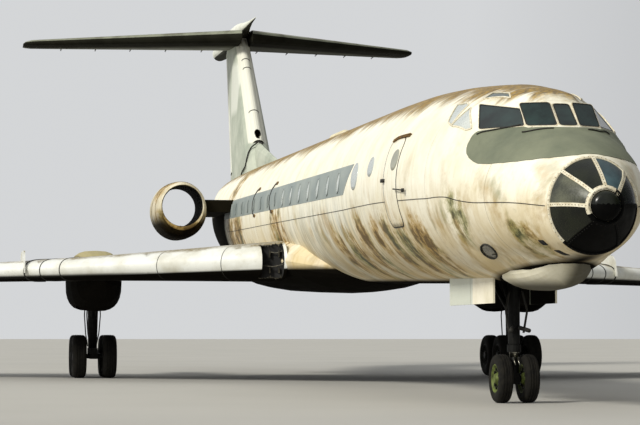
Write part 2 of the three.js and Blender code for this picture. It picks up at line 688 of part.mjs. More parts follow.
// Fin blade with its round leading edge, the air intake at that edge's foot, and the fillet ahead of it.
function finSolid() {
  const blade = loft(FIN_ROWS.map((row) => {
    const { height, leading, trailing, thickness } = named(FIN_COLUMNS, row);
    return foilOutline(trailing - leading, thickness, 0)
      .map(([run, out]) => new THREE.Vector3(out, leading + run, height));
  }));
  const edgePoint = (height) => finPoint(height, 0).point.add(new THREE.Vector3(0, FIN_EDGE.setBack, 0));
  const edge = rod(edgePoint(FIN_EDGE.foot), edgePoint(FIN_EDGE.top), FIN_EDGE.footRadius, FIN_EDGE.topRadius);
  const fillet = loft(FILLET_ROWS.map((row) => {
    const { station, halfWidth, top } = named(FILLET_COLUMNS, row);
    return ovalRing([station, halfWidth, top, FILLET_FOOT], 16);
  }));
  const ahead = new THREE.Vector3(0, -FIN_EDGE.footRadius * 2, 0);
  const behind = new THREE.Vector3(0, FIN_INTAKE.depth, 0);
  let fin = blade.add(edge).add(fillet);
  [-1, 1].forEach((step) => {
    const middle = edgePoint(FIN_INTAKE.height + step * FIN_INTAKE.rise);
    fin = fin.subtract(rod(middle.clone().add(ahead), middle.clone().add(behind), FIN_INTAKE.radius));
  });
  return fin;
}

function buildTail() {
  const bulletGrown = ovalBody(BULLET_ROWS, BULLET_SEGMENTS, GAP);
  let whole = finSolid().subtract(skin).subtract(bulletGrown);
  SIDES.forEach(([, side]) => { whole = whole.subtract(wingSolid(TAIL_ROWS, side, GAP)); });
  const above = (grow) => block(0, PIVOT_STATION * 2, RUDDER.foot - grow + SURFACE_REACH,
    2 * SURFACE_REACH, 4 * SURFACE_REACH, 2 * SURFACE_REACH);
  const [foot, top] = [finPoint(RUDDER.foot, RUDDER.share), finPoint(RUDDER.top, RUDDER.share)];
  const parts = splitSurface(whole, foot, top, above, RUDDER.endGap);
  airframe.add(meshOf('fin', parts.fixed, paint));
  airframe.add(meshOf('rudder', parts.moving, paint));
  airframe.add(meshOf('bullet_fairing', ovalBody(BULLET_ROWS, BULLET_SEGMENTS), paint));
  SIDES.forEach(([label, side]) => {
    const surface = wingSolid(TAIL_ROWS, side).subtract(bulletGrown);
    const inner = hingePoint(TAIL_ROWS, side, ELEVATOR.from, ELEVATOR.share);
    const outer = hingePoint(TAIL_ROWS, side, ELEVATOR.to, ELEVATOR.share);
    const outboard = (grow) => block(side * (ELEVATOR.from - grow + TAIL_TIP / 2), PIVOT_STATION * 2, TAIL_ROWS[0][3],
      TAIL_TIP, 4 * SURFACE_REACH, SURFACE_REACH);
    const split = splitSurface(surface, inner, outer, outboard, ELEVATOR.endGap);
    airframe.add(meshOf(`tailplane_${label}`, split.fixed, paint));
    airframe.add(meshOf(`elevator_${label}`, split.moving, paint));
  });
}

const at = (x, station, z) => new THREE.Vector3(x, station, z);

// Two tyres on one axle, as one turning piece.
function wheelPair(x, station, wheel, reach) {
  const { radius, width, spacing, rim } = wheel;
  const [left, right] = [at(x - reach, station, radius), at(x + reach, station, radius)];
  let pair = rod(left, right, AXLE.radius, AXLE.radius, AXLE.segments);
  [-1, 1].forEach((end) => {
    const middle = x + end * spacing / 2;
    const profile = [
      [0, -width * 0.3], [rim, -width * 0.3], [rim, -width * 0.46], [radius * 0.86, -width * 0.5],
      [radius * 0.96, -width * 0.38], [radius, -width * 0.2], [radius, width * 0.2],
      [radius * 0.96, width * 0.38], [radius * 0.86, width * 0.5], [rim, width * 0.46],
      [rim, width * 0.3], [0, width * 0.3],
    ].map(([r, along]) => new THREE.Vector2(r, along));
    const lathe = new THREE.LatheGeometry(profile, WHEEL_SEGMENTS);
    lathe.rotateZ(-Math.PI / 2);
    lathe.translate(middle, station, radius);
    pair = pair.add(solid(lathe));
  });
  return pair;
}

function axleBore(x, station, height) {
  const radius = boreFor(AXLE.radius, AXLE.segments);
  return rod(at(x - 200, station, height), at(x + 200, station, height), radius, radius, AXLE.segments);
}

function buildNoseGear(roof) {
  const centre = NOSE_WHEEL.radius;
  const ceiling = NOSE_DOOR.top + 200;
  const leg = rod(at(0, NOSE_GEAR, NOSE_LEG.foot), at(0, NOSE_GEAR, ceiling), NOSE_LEG.radius);
  const boreRadius = boreFor(PISTON.radius, AXLE.segments);
  const bore = rod(at(0, NOSE_GEAR, NOSE_LEG.foot - 20), at(0, NOSE_GEAR, PISTON.top + 40), boreRadius, boreRadius, AXLE.segments);
  const drag = rod(at(0, NOSE_GEAR + 40, 1160), at(0, NOSE_GEAR + 2050, ceiling), BRACE_RADIUS);
  const jacks = [-1, 1].map((side) => rod(at(side * 40, NOSE_GEAR, 1300), at(side * 260, NOSE_GEAR + 260, ceiling), BRACE_RADIUS * 0.7));
  const braced = jacks.reduce((sum, jack) => sum.add(jack), leg.add(drag));
  gear.add(meshOf('nose_leg', braced.subtract(bore).subtract(roof), steel));
  const piston = rod(at(0, NOSE_GEAR, centre), at(0, NOSE_GEAR, PISTON.top), PISTON.radius, PISTON.radius, AXLE.segments);
  const collar = rod(at(0, NOSE_GEAR, 690), at(0, NOSE_GEAR, 790), 95);
  const boss = block(0, NOSE_GEAR, centre, 120, 130, 150);
  gear.add(meshOf('nose_steering_fork', piston.add(collar).add(boss).subtract(axleBore(0, NOSE_GEAR, centre)), steel));
  gear.add(meshOf('nose_wheels', wheelPair(0, NOSE_GEAR, NOSE_WHEEL, 200), rubber));
}

// Two open panels a side, on one hinge rod under the belly.
function buildNoseDoors(roof) {
  SIDES.forEach(([label, side]) => {
    const x = side * NOSE_DOOR.offset;
    const height = NOSE_DOOR.top - NOSE_DOOR.foot;
    let door = rod(at(x, NOSE_DOOR.front, DOOR_HINGE.height), at(x, NOSE_DOOR.rear, DOOR_HINGE.height), DOOR_HINGE.radius);
    [[NOSE_DOOR.front, NOSE_DOOR.split - 10], [NOSE_DOOR.split + 10, NOSE_DOOR.rear]].forEach(([front, rear]) => {
      const panel = block(x, (front + rear) / 2, NOSE_DOOR.foot + height / 2, NOSE_DOOR.thickness, rear - front, height);
      door = door.add(panel);
    });
    gear.add(meshOf(`nose_gear_doors_${label}`, door.subtract(roof), paint));
  });
}

function buildMainGear(label, side, roof) {
  const x = side * POD_CENTRE;
  const beamHeight = MAIN_WHEEL.radius + BOGIE.lift;
  const below = block(x, MAIN_GEAR, beamHeight + BOGIE.height / 2 + GAP - 500, 1000, 1000, 1000);
  const { radius, lower, foot, top, lean } = MAIN_LEG;
  const leg = rod(at(x, MAIN_GEAR, foot), at(x, MAIN_GEAR - lean, top), lower, radius);
  const brace = rod(at(x, MAIN_GEAR - lean / 2, MAIN_BRACE.foot), at(x, MAIN_GEAR - MAIN_BRACE.reach, top), MAIN_BRACE.radius);
  gear.add(meshOf(`main_leg_${label}`, leg.add(brace).subtract(roof).subtract(below), steel));
  let beam = block(x, MAIN_GEAR, beamHeight, BOGIE.width, AXLE_SPREAD + 2 * BOGIE.overhang, BOGIE.height);
  [-1, 1].forEach((end) => {
    const station = MAIN_GEAR + end * AXLE_SPREAD / 2;
    beam = beam.subtract(axleBore(x, station, MAIN_WHEEL.radius));
    const place = end < 0 ? 'front' : 'rear';
    gear.add(meshOf(`main_wheels_${place}_${label}`, wheelPair(x, station, MAIN_WHEEL, 330), rubber));
  });
  gear.add(meshOf(`bogie_beam_${label}`, beam, steel));
}

buildBody();
SIDES.forEach(([label, side]) => {
  buildWing(label, side);
  buildIntake(label, side);
});
buildTail();

const part = new THREE.Group();
part.name = 'narrow_body_airliner';
const stance = STANCE_DEG * DEG;
airframe.rotation.x = stance;
const pivot = new THREE.Vector3(0, PIVOT_STATION, 0).applyAxisAngle(new THREE.Vector3(1, 0, 0), stance);
airframe.position.set(0, PIVOT_STATION - MID_STATION - pivot.y, AXIS_HEIGHT - pivot.z);
gear.position.set(0, -MID_STATION, 0);

// Solid of an airframe piece, grown by nothing and moved into the gear's frame.
function inGearFrame(body) {
  const mesh = meshOf('shape', body, paint);
  mesh.geometry.rotateX(stance);
  mesh.geometry.translate(0, airframe.position.y + MID_STATION, airframe.position.z);
  return solid(mesh.geometry);
}

const belly = inGearFrame(skin.subtract(noseBay(GAP)));
buildNoseGear(belly);
buildNoseDoors(belly);
SIDES.forEach(([label, side]) => {
  const roof = inGearFrame(podSolid(side, GAP).add(wingSolid(WING_ROWS, side, GAP)));
  buildMainGear(label, side, roof);
});
part.add(airframe, gear);

export default part;
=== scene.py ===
"""Looks of a disused narrow body airliner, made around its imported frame.

Laid out as an add-on and run as a script. Metres, in the frame's own axes: nose toward -Y,
starboard toward -X, +Z up. Tables give stations aft of the nose tip and heights over the body axis.
"""

import math

import bpy
import numpy as np
from bpy.props import FloatProperty, FloatVectorProperty, IntProperty, PointerProperty, StringProperty
from bpy.types import Operator, Panel, PropertyGroup
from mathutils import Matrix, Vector
from mathutils.geometry import delaunay_2d_cdt


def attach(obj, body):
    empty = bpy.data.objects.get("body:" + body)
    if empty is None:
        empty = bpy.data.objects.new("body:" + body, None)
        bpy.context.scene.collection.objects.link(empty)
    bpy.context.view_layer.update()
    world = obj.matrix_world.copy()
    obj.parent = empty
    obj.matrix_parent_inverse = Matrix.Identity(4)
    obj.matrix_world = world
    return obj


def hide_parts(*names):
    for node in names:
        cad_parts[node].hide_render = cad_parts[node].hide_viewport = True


bl_info = {
    "name": "Disused airliner looks",
    "version": (1, 0, 0),
    "blender": (4, 5, 0),
    "location": "View3D > Sidebar > Airliner",
    "description": "Builds the skin, glazing, gear and finishes of a disused airliner on its frame",
    "category": "Object",
}

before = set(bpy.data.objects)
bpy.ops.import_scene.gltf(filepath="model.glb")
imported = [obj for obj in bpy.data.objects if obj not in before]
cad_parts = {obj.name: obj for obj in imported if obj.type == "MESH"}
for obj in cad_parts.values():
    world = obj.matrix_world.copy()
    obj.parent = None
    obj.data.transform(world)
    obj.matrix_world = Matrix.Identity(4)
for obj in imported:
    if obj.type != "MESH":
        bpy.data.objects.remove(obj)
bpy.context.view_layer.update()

# Stance: the airframe leans nose down about a station on its axis
STANCE = math.radians(1.5)
PIVOT_STATION = 16.0
AXIS_HEIGHT = 3.385
MID_STATION = 18.6021
SIDES = {"starboard": -1, "port": 1}

# Sections of the body: station, half width, top, bottom
BODY = np.array([
    [0.60, 0.568, 0.074, -1.110], [0.78, 0.672, 0.165, -1.135], [1.00, 0.784, 0.275, -1.160],
    [1.25, 0.890, 0.380, -1.185], [1.50, 0.982, 0.475, -1.215], [2.00, 1.112, 0.640, -1.290],
    [2.50, 1.200, 0.860, -1.360], [3.00, 1.265, 1.100, -1.410], [3.60, 1.351, 1.226, -1.450],
    [4.40, 1.419, 1.300, -1.450], [5.40, 1.449, 1.370, -1.450], [7.00, 1.450, 1.432, -1.450],
    [9.00, 1.450, 1.450, -1.450], [22.0, 1.450, 1.450, -1.450], [24.5, 1.430, 1.450, -1.400],
    [27.0, 1.310, 1.445, -1.170], [29.5, 1.060, 1.440, -0.720], [31.5, 0.780, 1.430, -0.220],
    [33.0, 0.520, 1.400, 0.260], [34.0, 0.300, 1.300, 0.640], [34.4, 0.130, 1.120, 0.860]])
ROOF = np.array([
    [1.30, 0.760, 0.560, -1.200], [1.89, 0.950, 0.840, -1.380], [2.11, 1.020, 0.980, -1.400],
    [2.40, 1.080, 1.040, -1.425], [2.70, 1.190, 1.100, -1.437], [3.00, 1.285, 1.145, -1.445],
    [3.60, 1.340, 1.232, -1.448], [4.40, 1.385, 1.262, -1.400]])
GLASS_CONE = np.array([
    [0.09, 0.205, -0.340, -0.750], [0.25, 0.342, -0.186, -0.868],
    [0.42, 0.463, -0.056, -0.984], [0.5997, 0.548, 0.062, -1.098]])
HUB = np.array([
    [0.00, 0.030, -0.515, -0.575], [0.004, 0.075, -0.470, -0.620], [0.012, 0.105, -0.440, -0.650],
    [0.025, 0.133, -0.412, -0.678], [0.04, 0.155, -0.390, -0.700], [0.065, 0.172, -0.373, -0.717],
    [0.0897, 0.182, -0.363, -0.727]])

# Wing plan: span, chord, share of the chord that is its thickness, run aft of the straight leading edge
WING = np.array([
    [0.60, 7.64, 0.115, 0.00], [1.45, 6.90, 0.115, 0.00], [4.70, 5.20, 0.097, 0.00],
    [9.60, 3.71, 0.076, 0.00],
    [14.10, 2.34, 0.080, 0.00], [14.38, 2.00, 0.060, 0.16], [14.50, 1.35, 0.035, 0.52]])
WING_ROOT = {"span": 1.45, "leading": 14.418, "height": -1.028}
WING_SWEEP = math.tan(math.radians(37.53))
WING_DROP = math.tan(math.radians(2.37))
# Where the wing's rear is cut away for moving surfaces: from span, to span, share of the chord kept
WING_CUTS = ((2.238, 3.922, 0.700), (5.978, 9.502, 0.680), (10.028, 13.922, 0.700))
TORN = {"inner": 1.50, "outer": 1.88, "depth": 0.31}
# Hanging strips in the torn root: from span, station, height to span, station, height
TORN_STRIPS = (((-1.50, 14.70, -0.84), (-1.72, 14.86, -0.86)), ((-1.50, 14.62, -1.10), (-1.84, 14.90, -1.12)))
FENCES = (6.25, 9.70)
# Seams of the wing: span and width
WING_SEAMS = ((2.60, 0.014), (3.75, 0.014), (5.57, 0.03), (5.95, 0.03), (6.25, 0.05), (7.4, 0.014),
              (8.6, 0.014), (11.2, 0.014), (12.4, 0.014))
RING_SPAN = 2.575
# Bore of an intake ring, and its rows from the rear to the lip: station and growth of the radius
BORE = {"radius": 0.455, "height": 0.31}
BORE_ROWS = ((24.10, 0.0), (23.4, 0.0), (22.70, 0.0), (22.61, 0.004), (22.57, 0.012))
INTAKE = np.array([
    [22.56, 0.490, 0.800, -0.240], [22.64, 0.545, 0.845, -0.360], [22.85, 0.585, 0.880, -0.425],
    [23.40, 0.608, 0.905, -0.445], [24.10, 0.615, 0.910, -0.450]])

# Cockpit windows: corners of the flat facets, as span, station, height
SILL = {"centre": (0.13, 1.51, 0.50), "quarter": (0.49, 1.75, 0.505), "side": (0.91, 2.48, 0.51)}
BROW = {"centre": (0.12, 1.89, 0.82), "quarter": (0.49, 2.11, 0.84), "side": (0.77, 2.97, 0.90)}


def mirrored(corner, side):
    return np.array([side * corner[0], corner[1], corner[2]])


def facet(side, first, second):
    """Corners of one cockpit facet: along the sill, then back along the brow."""
    return [mirrored(SILL[first], side), mirrored(SILL[second], side),
            mirrored(BROW[second], side), mirrored(BROW[first], side)]


FACETS = {
    "centre": [mirrored(SILL["centre"], -1), mirrored(SILL["centre"], 1),
               mirrored(BROW["centre"], 1), mirrored(BROW["centre"], -1)]}
for side_name, side_sign in SIDES.items():
    FACETS[f"quarter_{side_name}"] = facet(side_sign, "centre", "quarter")
    FACETS[f"side_{side_name}"] = facet(side_sign, "quarter", "side")


def facet_axes(corners):
    """Origin, two directions in the facet's plane and its outward normal."""
    origin = corners[0]
    u = corners[1] - origin
    u = u / np.linalg.norm(u)
    normal = np.cross(u, corners[2] - origin)
    normal /= np.linalg.norm(normal)
    if normal[1] > 0:
        normal = -normal
    return origin, u, np.cross(normal, u), normal


def to_row(points):
    """Points as span, station, height turned into the frame's axes."""
    p = np.asarray(points, float).reshape(-1, 3)
    c, s = math.cos(STANCE), math.sin(STANCE)
    y = p[:, 1] * c - p[:, 2] * s + PIVOT_STATION - MID_STATION - PIVOT_STATION * c
    z = p[:, 1] * s + p[:, 2] * c + AXIS_HEIGHT - PIVOT_STATION * s
    return np.stack([p[:, 0], y, z], axis=1)


def from_ground(points):
    """Points as span, station, height over the ground turned into the frame's axes."""
    p = np.array(points, float).reshape(-1, 3)
    p[:, 1] -= MID_STATION
    return p


def smooth_read(table, stations):
    """Table columns at any station, by a curve through the rows that never overshoots them."""
    x, at = table[:, 0], np.clip(np.asarray(stations, float), table[0, 0], table[-1, 0])
    h = np.diff(x)[:, None]
    slope = np.diff(table[:, 1:], axis=0) / h
    bend = np.zeros_like(table[:, 1:])
    product = slope[:-1] * slope[1:]
    total = np.where(np.abs(slope[:-1] + slope[1:]) < 1e-9, 1.0, slope[:-1] + slope[1:])
    bend[1:-1] = np.where(product > 0, 2 * product / total, 0.0)
    bend[0], bend[-1] = slope[0], slope[-1]
    i = np.clip(np.searchsorted(x, at) - 1, 0, len(x) - 2)
    t = ((at - x[i]) / h[i, 0])[:, None]
    low, high, run = table[i, 1:], table[i + 1, 1:], h[i]
    return ((2 * t**3 - 3 * t**2 + 1) * low + (t**3 - 2 * t**2 + t) * run * bend[i]
            + (3 * t**2 - 2 * t**3) * high + (t**3 - t**2) * run * bend[i + 1])


def ray_to_oval(section, centre, angle):
    """Distance from (0, centre) to an oval section along an angle from the span axis."""
    half, top, bottom = section[:, 0], section[:, 1], section[:, 2]
    middle, rise = (top + bottom) / 2, (top - bottom) / 2
    c, s, drop = np.cos(angle), np.sin(angle), centre - middle
    a = (c / half) ** 2 + (s / rise) ** 2
    b = 2 * s * drop / rise**2
    k = (drop / rise) ** 2 - 1
    return (-b + np.sqrt(np.maximum(b * b - 4 * a * k, 0))) / (2 * a)


FACET_PLANES = []
for facet_corners in FACETS.values():
    facet_origin, _, _, facet_normal = facet_axes(facet_corners)
    FACET_PLANES.append((facet_normal, float(facet_normal @ facet_origin)))


def axis_of(stations):
    """Height of the middle of the body's section."""
    section = smooth_read(BODY, stations)
    return (section[:, 1] + section[:, 2]) / 2


def skin_radius(stations, angles):
    """Distance from the section's middle to the skin, with the cockpit's facets cut in."""
    stations, angles = np.broadcast_arrays(np.asarray(stations, float), np.asarray(angles, float))
    flat_s, flat_a = stations.ravel(), angles.ravel()
    body = smooth_read(BODY, flat_s)
    centre = (body[:, 1] + body[:, 2]) / 2
    radius = ray_to_oval(body, centre, flat_a)
    roof = ray_to_oval(smooth_read(ROOF, flat_s), centre, flat_a)
    for normal, offset in FACET_PLANES:
        toward = normal[0] * np.cos(flat_a) + normal[2] * np.sin(flat_a)
        gap = offset - normal[1] * flat_s - normal[2] * centre
        reach = np.where(toward > 1e-4, gap / np.where(toward > 1e-4, toward, 1), 1e9)
        roof = np.minimum(roof, np.maximum(reach, 0))
    has_roof = (flat_s >= ROOF[0, 0]) & (flat_s <= ROOF[-1, 0])
    return np.where(has_roof, np.maximum(radius, roof), radius).reshape(stations.shape)


def skin_points(stations, angles, proud=0.0):
    """Places on the skin, moved out from the section's middle by proud."""
    radius = skin_radius(stations, angles) + proud
    centre = axis_of(np.ravel(np.broadcast_to(stations, radius.shape))).reshape(radius.shape)
    x = radius * np.cos(angles)
    h = centre + radius * np.sin(angles)
    return np.stack([x, np.broadcast_to(stations, radius.shape), h], axis=-1).reshape(-1, 3)


def angle_at(station, height, side):
    """Angle of the place on one side of the skin that has this station and height."""
    tilt = np.radians(np.linspace(-88, 88, 177))
    angles = tilt if side > 0 else np.pi - tilt
    heights = skin_points(np.full_like(angles, station), angles)[:, 2]
    return float(np.interp(height, heights, angles))


def angle_of_span(station, span):
    """Angle of the place on top of the skin that has this station and span."""
    angles = np.radians(np.linspace(180, 0, 361))
    spans = skin_points(np.full_like(angles, station), angles)[:, 0]
    return float(np.interp(span, spans, angles))


# Meshes

def new_mesh(name, points, faces, finishes):
    """Mesh that carries one finish or more."""
    mesh = bpy.data.meshes.new(name)
    mesh.from_pydata([tuple(p) for p in points], [], [tuple(f) for f in faces])
    for finish in finishes:
        mesh.materials.append(finish)
    return mesh


def placed(name, data):
    """New object in the scene."""
    made = bpy.data.objects.new(name, data)
    bpy.context.scene.collection.objects.link(made)
    return made


class Shape:
    """Points and faces gathered from several pieces that make one mesh."""

    def __init__(self):
        self.points, self.faces, self.looks, self.count = [], [], [], 0

    def add(self, points, faces, look=0):
        points = np.asarray(points, float).reshape(-1, 3)
        self.points.append(points)
        self.faces.extend(tuple(int(i) + self.count for i in f) for f in faces)
        self.looks.extend([look] * len(faces) if isinstance(look, int) else look)
        self.count += len(points)
        return self

    def done(self, name, looks, body="airframe", place=to_row, replaced=(), slot=None, smooth=True,
             sharp=None):
        """The object that rides on a body of the frame. Looks names one finish or more."""
        finishes = [MATERIALS[look] for look in ([looks] if isinstance(looks, str) else looks)]
        mesh = new_mesh(name, place(np.concatenate(self.points)), self.faces, finishes)
        mesh.polygons.foreach_set("use_smooth", [smooth] * len(mesh.polygons))
        mesh.polygons.foreach_set("material_index", self.looks)
        mesh.validate()
        piece = placed(name, mesh)
        if sharp is not None:
            mesh.set_sharp_from_angle(angle=math.radians(sharp))
        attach(piece, body)
        if replaced:
            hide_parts(*replaced)
        return piece


def all_round(count):
    """Angles evenly round a circle."""
    return np.linspace(0, 2 * np.pi, count, endpoint=False)


def loft(rings, caps=(True, True), closed=True):
    """Quads through rings of the same count, with a cap at either end."""
    rings = np.asarray(rings, float)
    rows, count = rings.shape[:2]
    faces = []
    last = count if closed else count - 1
    for r in range(rows - 1):
        for k in range(last):
            a, b = r * count + k, r * count + (k + 1) % count
            faces.append((a, a + count, b + count, b))
    if caps[0]:
        faces.append(tuple(range(count)))
    if caps[1]:
        faces.append(tuple(range(rows * count - 1, (rows - 1) * count - 1, -1)))
    return rings.reshape(-1, 3), faces


def oval_rings(table, stations, segments, grow=0.0, centre=0.0, power=1.0):
    """Oval rings read from a table of sections. A power under 1 squares them up."""
    section = smooth_read(table, stations)
    angle = all_round(segments)
    c = np.sign(np.cos(angle)) * np.abs(np.cos(angle)) ** power
    s = np.sign(np.sin(angle)) * np.abs(np.sin(angle)) ** power
    rings = []
    for station, (half, top, bottom) in zip(stations, section):
        middle, rise = (top + bottom) / 2, (top - bottom) / 2 + grow
        rings.append(np.stack([centre + (half + grow) * c, np.full(segments, station), middle + rise * s], 1))
    return rings


def tube(path, radius, segments=8, closed=False):
    """Round bar along a path, with one radius or one for each point."""
    path = np.asarray(path, float)
    radii = np.broadcast_to(np.asarray(radius, float), len(path))
    tangents = np.gradient(path, axis=0)
    tangents /= np.linalg.norm(tangents, axis=1)[:, None]
    across = np.cross(tangents[0], (0, 0, 1) if abs(tangents[0][2]) < 0.9 else (1, 0, 0))
    angle = all_round(segments)
    rings = []
    for point, tangent, r in zip(path, tangents, radii):
        across = across - tangent * (across @ tangent)
        across /= np.linalg.norm(across)
        up = np.cross(tangent, across)
        rings.append(point + r * (np.outer(np.cos(angle), across) + np.outer(np.sin(angle), up)))
    return loft(rings, caps=(not closed, not closed))


def box(centre, size, turn=None):
    """Box about a centre, turned by a matrix whose rows are its own axes."""
    corners = np.array([[x, y, z] for x in (-0.5, 0.5) for y in (-0.5, 0.5) for z in (-0.5, 0.5)]) * size
    if turn is not None:
        corners = corners @ np.asarray(turn)
    faces = [(0, 1, 3, 2), (4, 6, 7, 5), (0, 4, 5, 1), (2, 3, 7, 6), (0, 2, 6, 4), (1, 5, 7, 3)]
    return corners + np.asarray(centre, float), faces


def lathe(profile, centre, axis=0, segments=64, closed=True):
    """Profile of (radius, run along the axis) turned about an axis through a centre."""
    profile = np.asarray(profile, float)
    angle = all_round(segments)
    others = [i for i in range(3) if i != axis]
    points = np.zeros((segments, len(profile), 3))
    points[:, :, axis] = profile[:, 1]
    points[:, :, others[0]] = np.outer(np.cos(angle), profile[:, 0])
    points[:, :, others[1]] = np.outer(np.sin(angle), profile[:, 0])
    points += np.asarray(centre, float)
    count = len(profile)
    faces = []
    for a in range(segments):
        b = (a + 1) % segments
        for k in range(count if closed else count - 1):
            j = (k + 1) % count
            faces.append((a * count + k, b * count + k, b * count + j, a * count + j))
    return points.reshape(-1, 3), faces


def ribbon(centres, normals, width, height, closed=False):
    """Flat strip along a path, square in section, lying on a surface with these normals."""
    centres, normals = np.asarray(centres, float), np.asarray(normals, float)
    if closed:
        tangents = np.roll(centres, -1, 0) - np.roll(centres, 1, 0)
    else:
        tangents = np.gradient(centres, axis=0)
    across = np.cross(tangents, normals)
    across /= np.linalg.norm(across, axis=1)[:, None]
    half = across * width / 2
    low, high = centres - normals * height, centres + normals * height
    rings = np.stack([low - half, low + half, high + half, high - half], axis=1)
    if closed:
        rings = np.concatenate([rings, rings[:1]])
    return loft(rings, caps=(not closed, not closed))


def on_skin(outline, proud=0.0):
    """Places and outward normals of (station, angle) pairs on the skin."""
    s, a = np.array(outline, float).T
    step = 0.004
    here = skin_points(s, a)
    along = skin_points(s + step, a) - skin_points(s - step, a)
    around = skin_points(s, a + step) - skin_points(s, a - step)
    normals = np.cross(around, along)
    normals /= np.linalg.norm(normals, axis=1)[:, None]
    out = here - np.stack([np.zeros_like(s), s, axis_of(s)], 1)
    normals *= np.sign((normals * out).sum(1))[:, None]
    return here + normals * proud, normals


def resample(points, step, closed=False):
    """The same path with points at most a step apart."""
    points = [np.asarray(p, float) for p in points]
    if closed:
        points.append(points[0])
    path = []
    for a, b in zip(points, points[1:]):
        count = max(1, int(math.ceil(np.linalg.norm(b - a) / step)))
        path.extend(a + (b - a) * i / count for i in range(count))
    if not closed:
        path.append(points[-1])
    return path


def patch(outline, proud, thickness, step=0.05):
    """Plate that follows the skin inside an outline of (station, angle) pairs."""
    outline = resample(outline, step, closed=True)
    radius = 1.3
    flat = [Vector((p[0], p[1] * radius)) for p in outline]
    count = len(flat)
    low = np.min([tuple(p) for p in flat], axis=0)
    high = np.max([tuple(p) for p in flat], axis=0)
    inner = [Vector((x, y)) for x in np.arange(low[0] + step / 2, high[0], step)
             for y in np.arange(low[1] + step / 2, high[1], step)
             if inside(flat, x, y, step * 0.35)]
    points, _, faces, *_ = delaunay_2d_cdt(flat + inner, [], [tuple(range(count))], 1, 1e-5)
    pairs = [(p.x, p.y / radius) for p in points]
    top, normals = on_skin(pairs, proud)
    bottom = top - normals * thickness
    edges = {}
    for f in faces:
        for a, b in zip(f, f[1:] + f[:1]):
            edges[(a, b)] = edges.get((a, b), 0) + 1
    rim = [(a, b) for a, b in edges if (b, a) not in edges]
    n = len(points)
    all_faces = [tuple(f) for f in faces]
    all_faces += [tuple(i + n for i in reversed(f)) for f in faces]
    all_faces += [(b, a, a + n, b + n) for a, b in rim]
    return np.concatenate([top, bottom]), all_faces


def inside(polygon, x, y, margin):
    """Whether a point is inside a polygon and a margin away from its edges."""
    odd, near = False, 1e9
    for a, b in zip(polygon, polygon[1:] + polygon[:1]):
        if (a.y > y) != (b.y > y) and x < (b.x - a.x) * (y - a.y) / (b.y - a.y) + a.x:
            odd = not odd
        run = b - a
        t = max(0.0, min(1.0, ((x - a.x) * run.x + (y - a.y) * run.y) / max(run.length_squared, 1e-12)))
        near = min(near, math.hypot(a.x + run.x * t - x, a.y + run.y * t - y))
    return odd and near > margin


def skin_line(outline, width, proud, step=0.04, closed=False):
    """Thin strip along (station, angle) pairs on the skin."""
    pairs = np.array(resample(outline, step, closed))
    places, normals = on_skin(pairs, proud / 2)
    return ribbon(places, normals, width, proud, closed)


def rounded(front, rear, foot, top, radius, steps=6):
    """Rounded rectangle as (station, height) pairs."""
    corners = [(rear - radius, top - radius, 0), (front + radius, top - radius, 90),
               (front + radius, foot + radius, 180), (rear - radius, foot + radius, 270)]
    return [(s + radius * math.cos(math.radians(turn + 90 * i / steps)),
             h + radius * math.sin(math.radians(turn + 90 * i / steps)))
            for s, h, turn in corners for i in range(steps + 1)]


def oval(station, height, half_length, half_height, count=28):
    """Oval as (station, height) pairs."""
    angle = all_round(count)
    return [(station + half_length * math.cos(a), height + half_height * math.sin(a)) for a in angle]


def side_outline(pairs, side):
    """(station, height) pairs on one side turned into (station, angle) pairs."""
    return [(s, angle_at(s, h, side)) for s, h in pairs]


def strip(rows, proud, thickness):
    """Plate on the skin through rows of (station, angle) pairs that all have the same count."""
    rings = []
    for row in rows:
        top, normals = on_skin(row, proud)
        rings.append(np.concatenate([top, (top - normals * thickness)[::-1]]))
    return loft(rings)


def spread(path, count):
    """The same path with this many points, evenly far apart."""
    path = np.asarray(path, float)
    runs = np.concatenate([[0], np.cumsum(np.linalg.norm(np.diff(path, axis=0), axis=1))])
    at = np.linspace(0, runs[-1], count)
    return np.stack([np.interp(at, runs, path[:, k]) for k in range(path.shape[1])], axis=1)


# Materials

# Kinds of node, each with the settings that it has here
RANGE = ("ShaderNodeMapRange", {})
SMOOTH = ("ShaderNodeMapRange", {"interpolation_type": "SMOOTHSTEP"})
PLUS = ("ShaderNodeMath", {"operation": "ADD"})
MINUS = ("ShaderNodeMath", {"operation": "SUBTRACT"})
TIMES = ("ShaderNodeMath", {"operation": "MULTIPLY"})
TIMES_PLUS = ("ShaderNodeMath", {"operation": "MULTIPLY_ADD"})
LARGER = ("ShaderNodeMath", {"operation": "MAXIMUM"})
SIZE_OF = ("ShaderNodeMath", {"operation": "ABSOLUTE"})
ANGLE_OF = ("ShaderNodeMath", {"operation": "ARCTAN2"})
REPEAT = ("ShaderNodeMath", {"operation": "FLOORED_MODULO"})
CLOSE_TO = ("ShaderNodeMath", {"operation": "COMPARE"})
MOVE = ("ShaderNodeVectorMath", {"operation": "SUBTRACT"})
APART = ("ShaderNodeVectorMath", {"operation": "DISTANCE"})
LENGTH = ("ShaderNodeVectorMath", {"operation": "LENGTH"})
TURN = ("ShaderNodeMapping", {})
JOIN = ("ShaderNodeCombineXYZ", {})
SPLIT = ("ShaderNodeSeparateXYZ", {})
MIX = ("ShaderNodeMix", {"data_type": "RGBA"})
NOISE = ("ShaderNodeTexNoise", {})
PLACE = ("ShaderNodeTexCoord", {})
FACING = ("ShaderNodeNewGeometry", {})
BUMP = ("ShaderNodeBump", {})
SHADER = ("ShaderNodeBsdfPrincipled", {})
OUTPUT = ("ShaderNodeOutputMaterial", {})

# Line of the fin's leading tube: station = slope x height + line
TUBE_SLOPE = 1.0346
TUBE_LINE = 26.06
# Line of the tailplane's leading edge: station = sweep x span + line
TAIL_SWEEP = 0.956
TAIL_LINE = 30.3
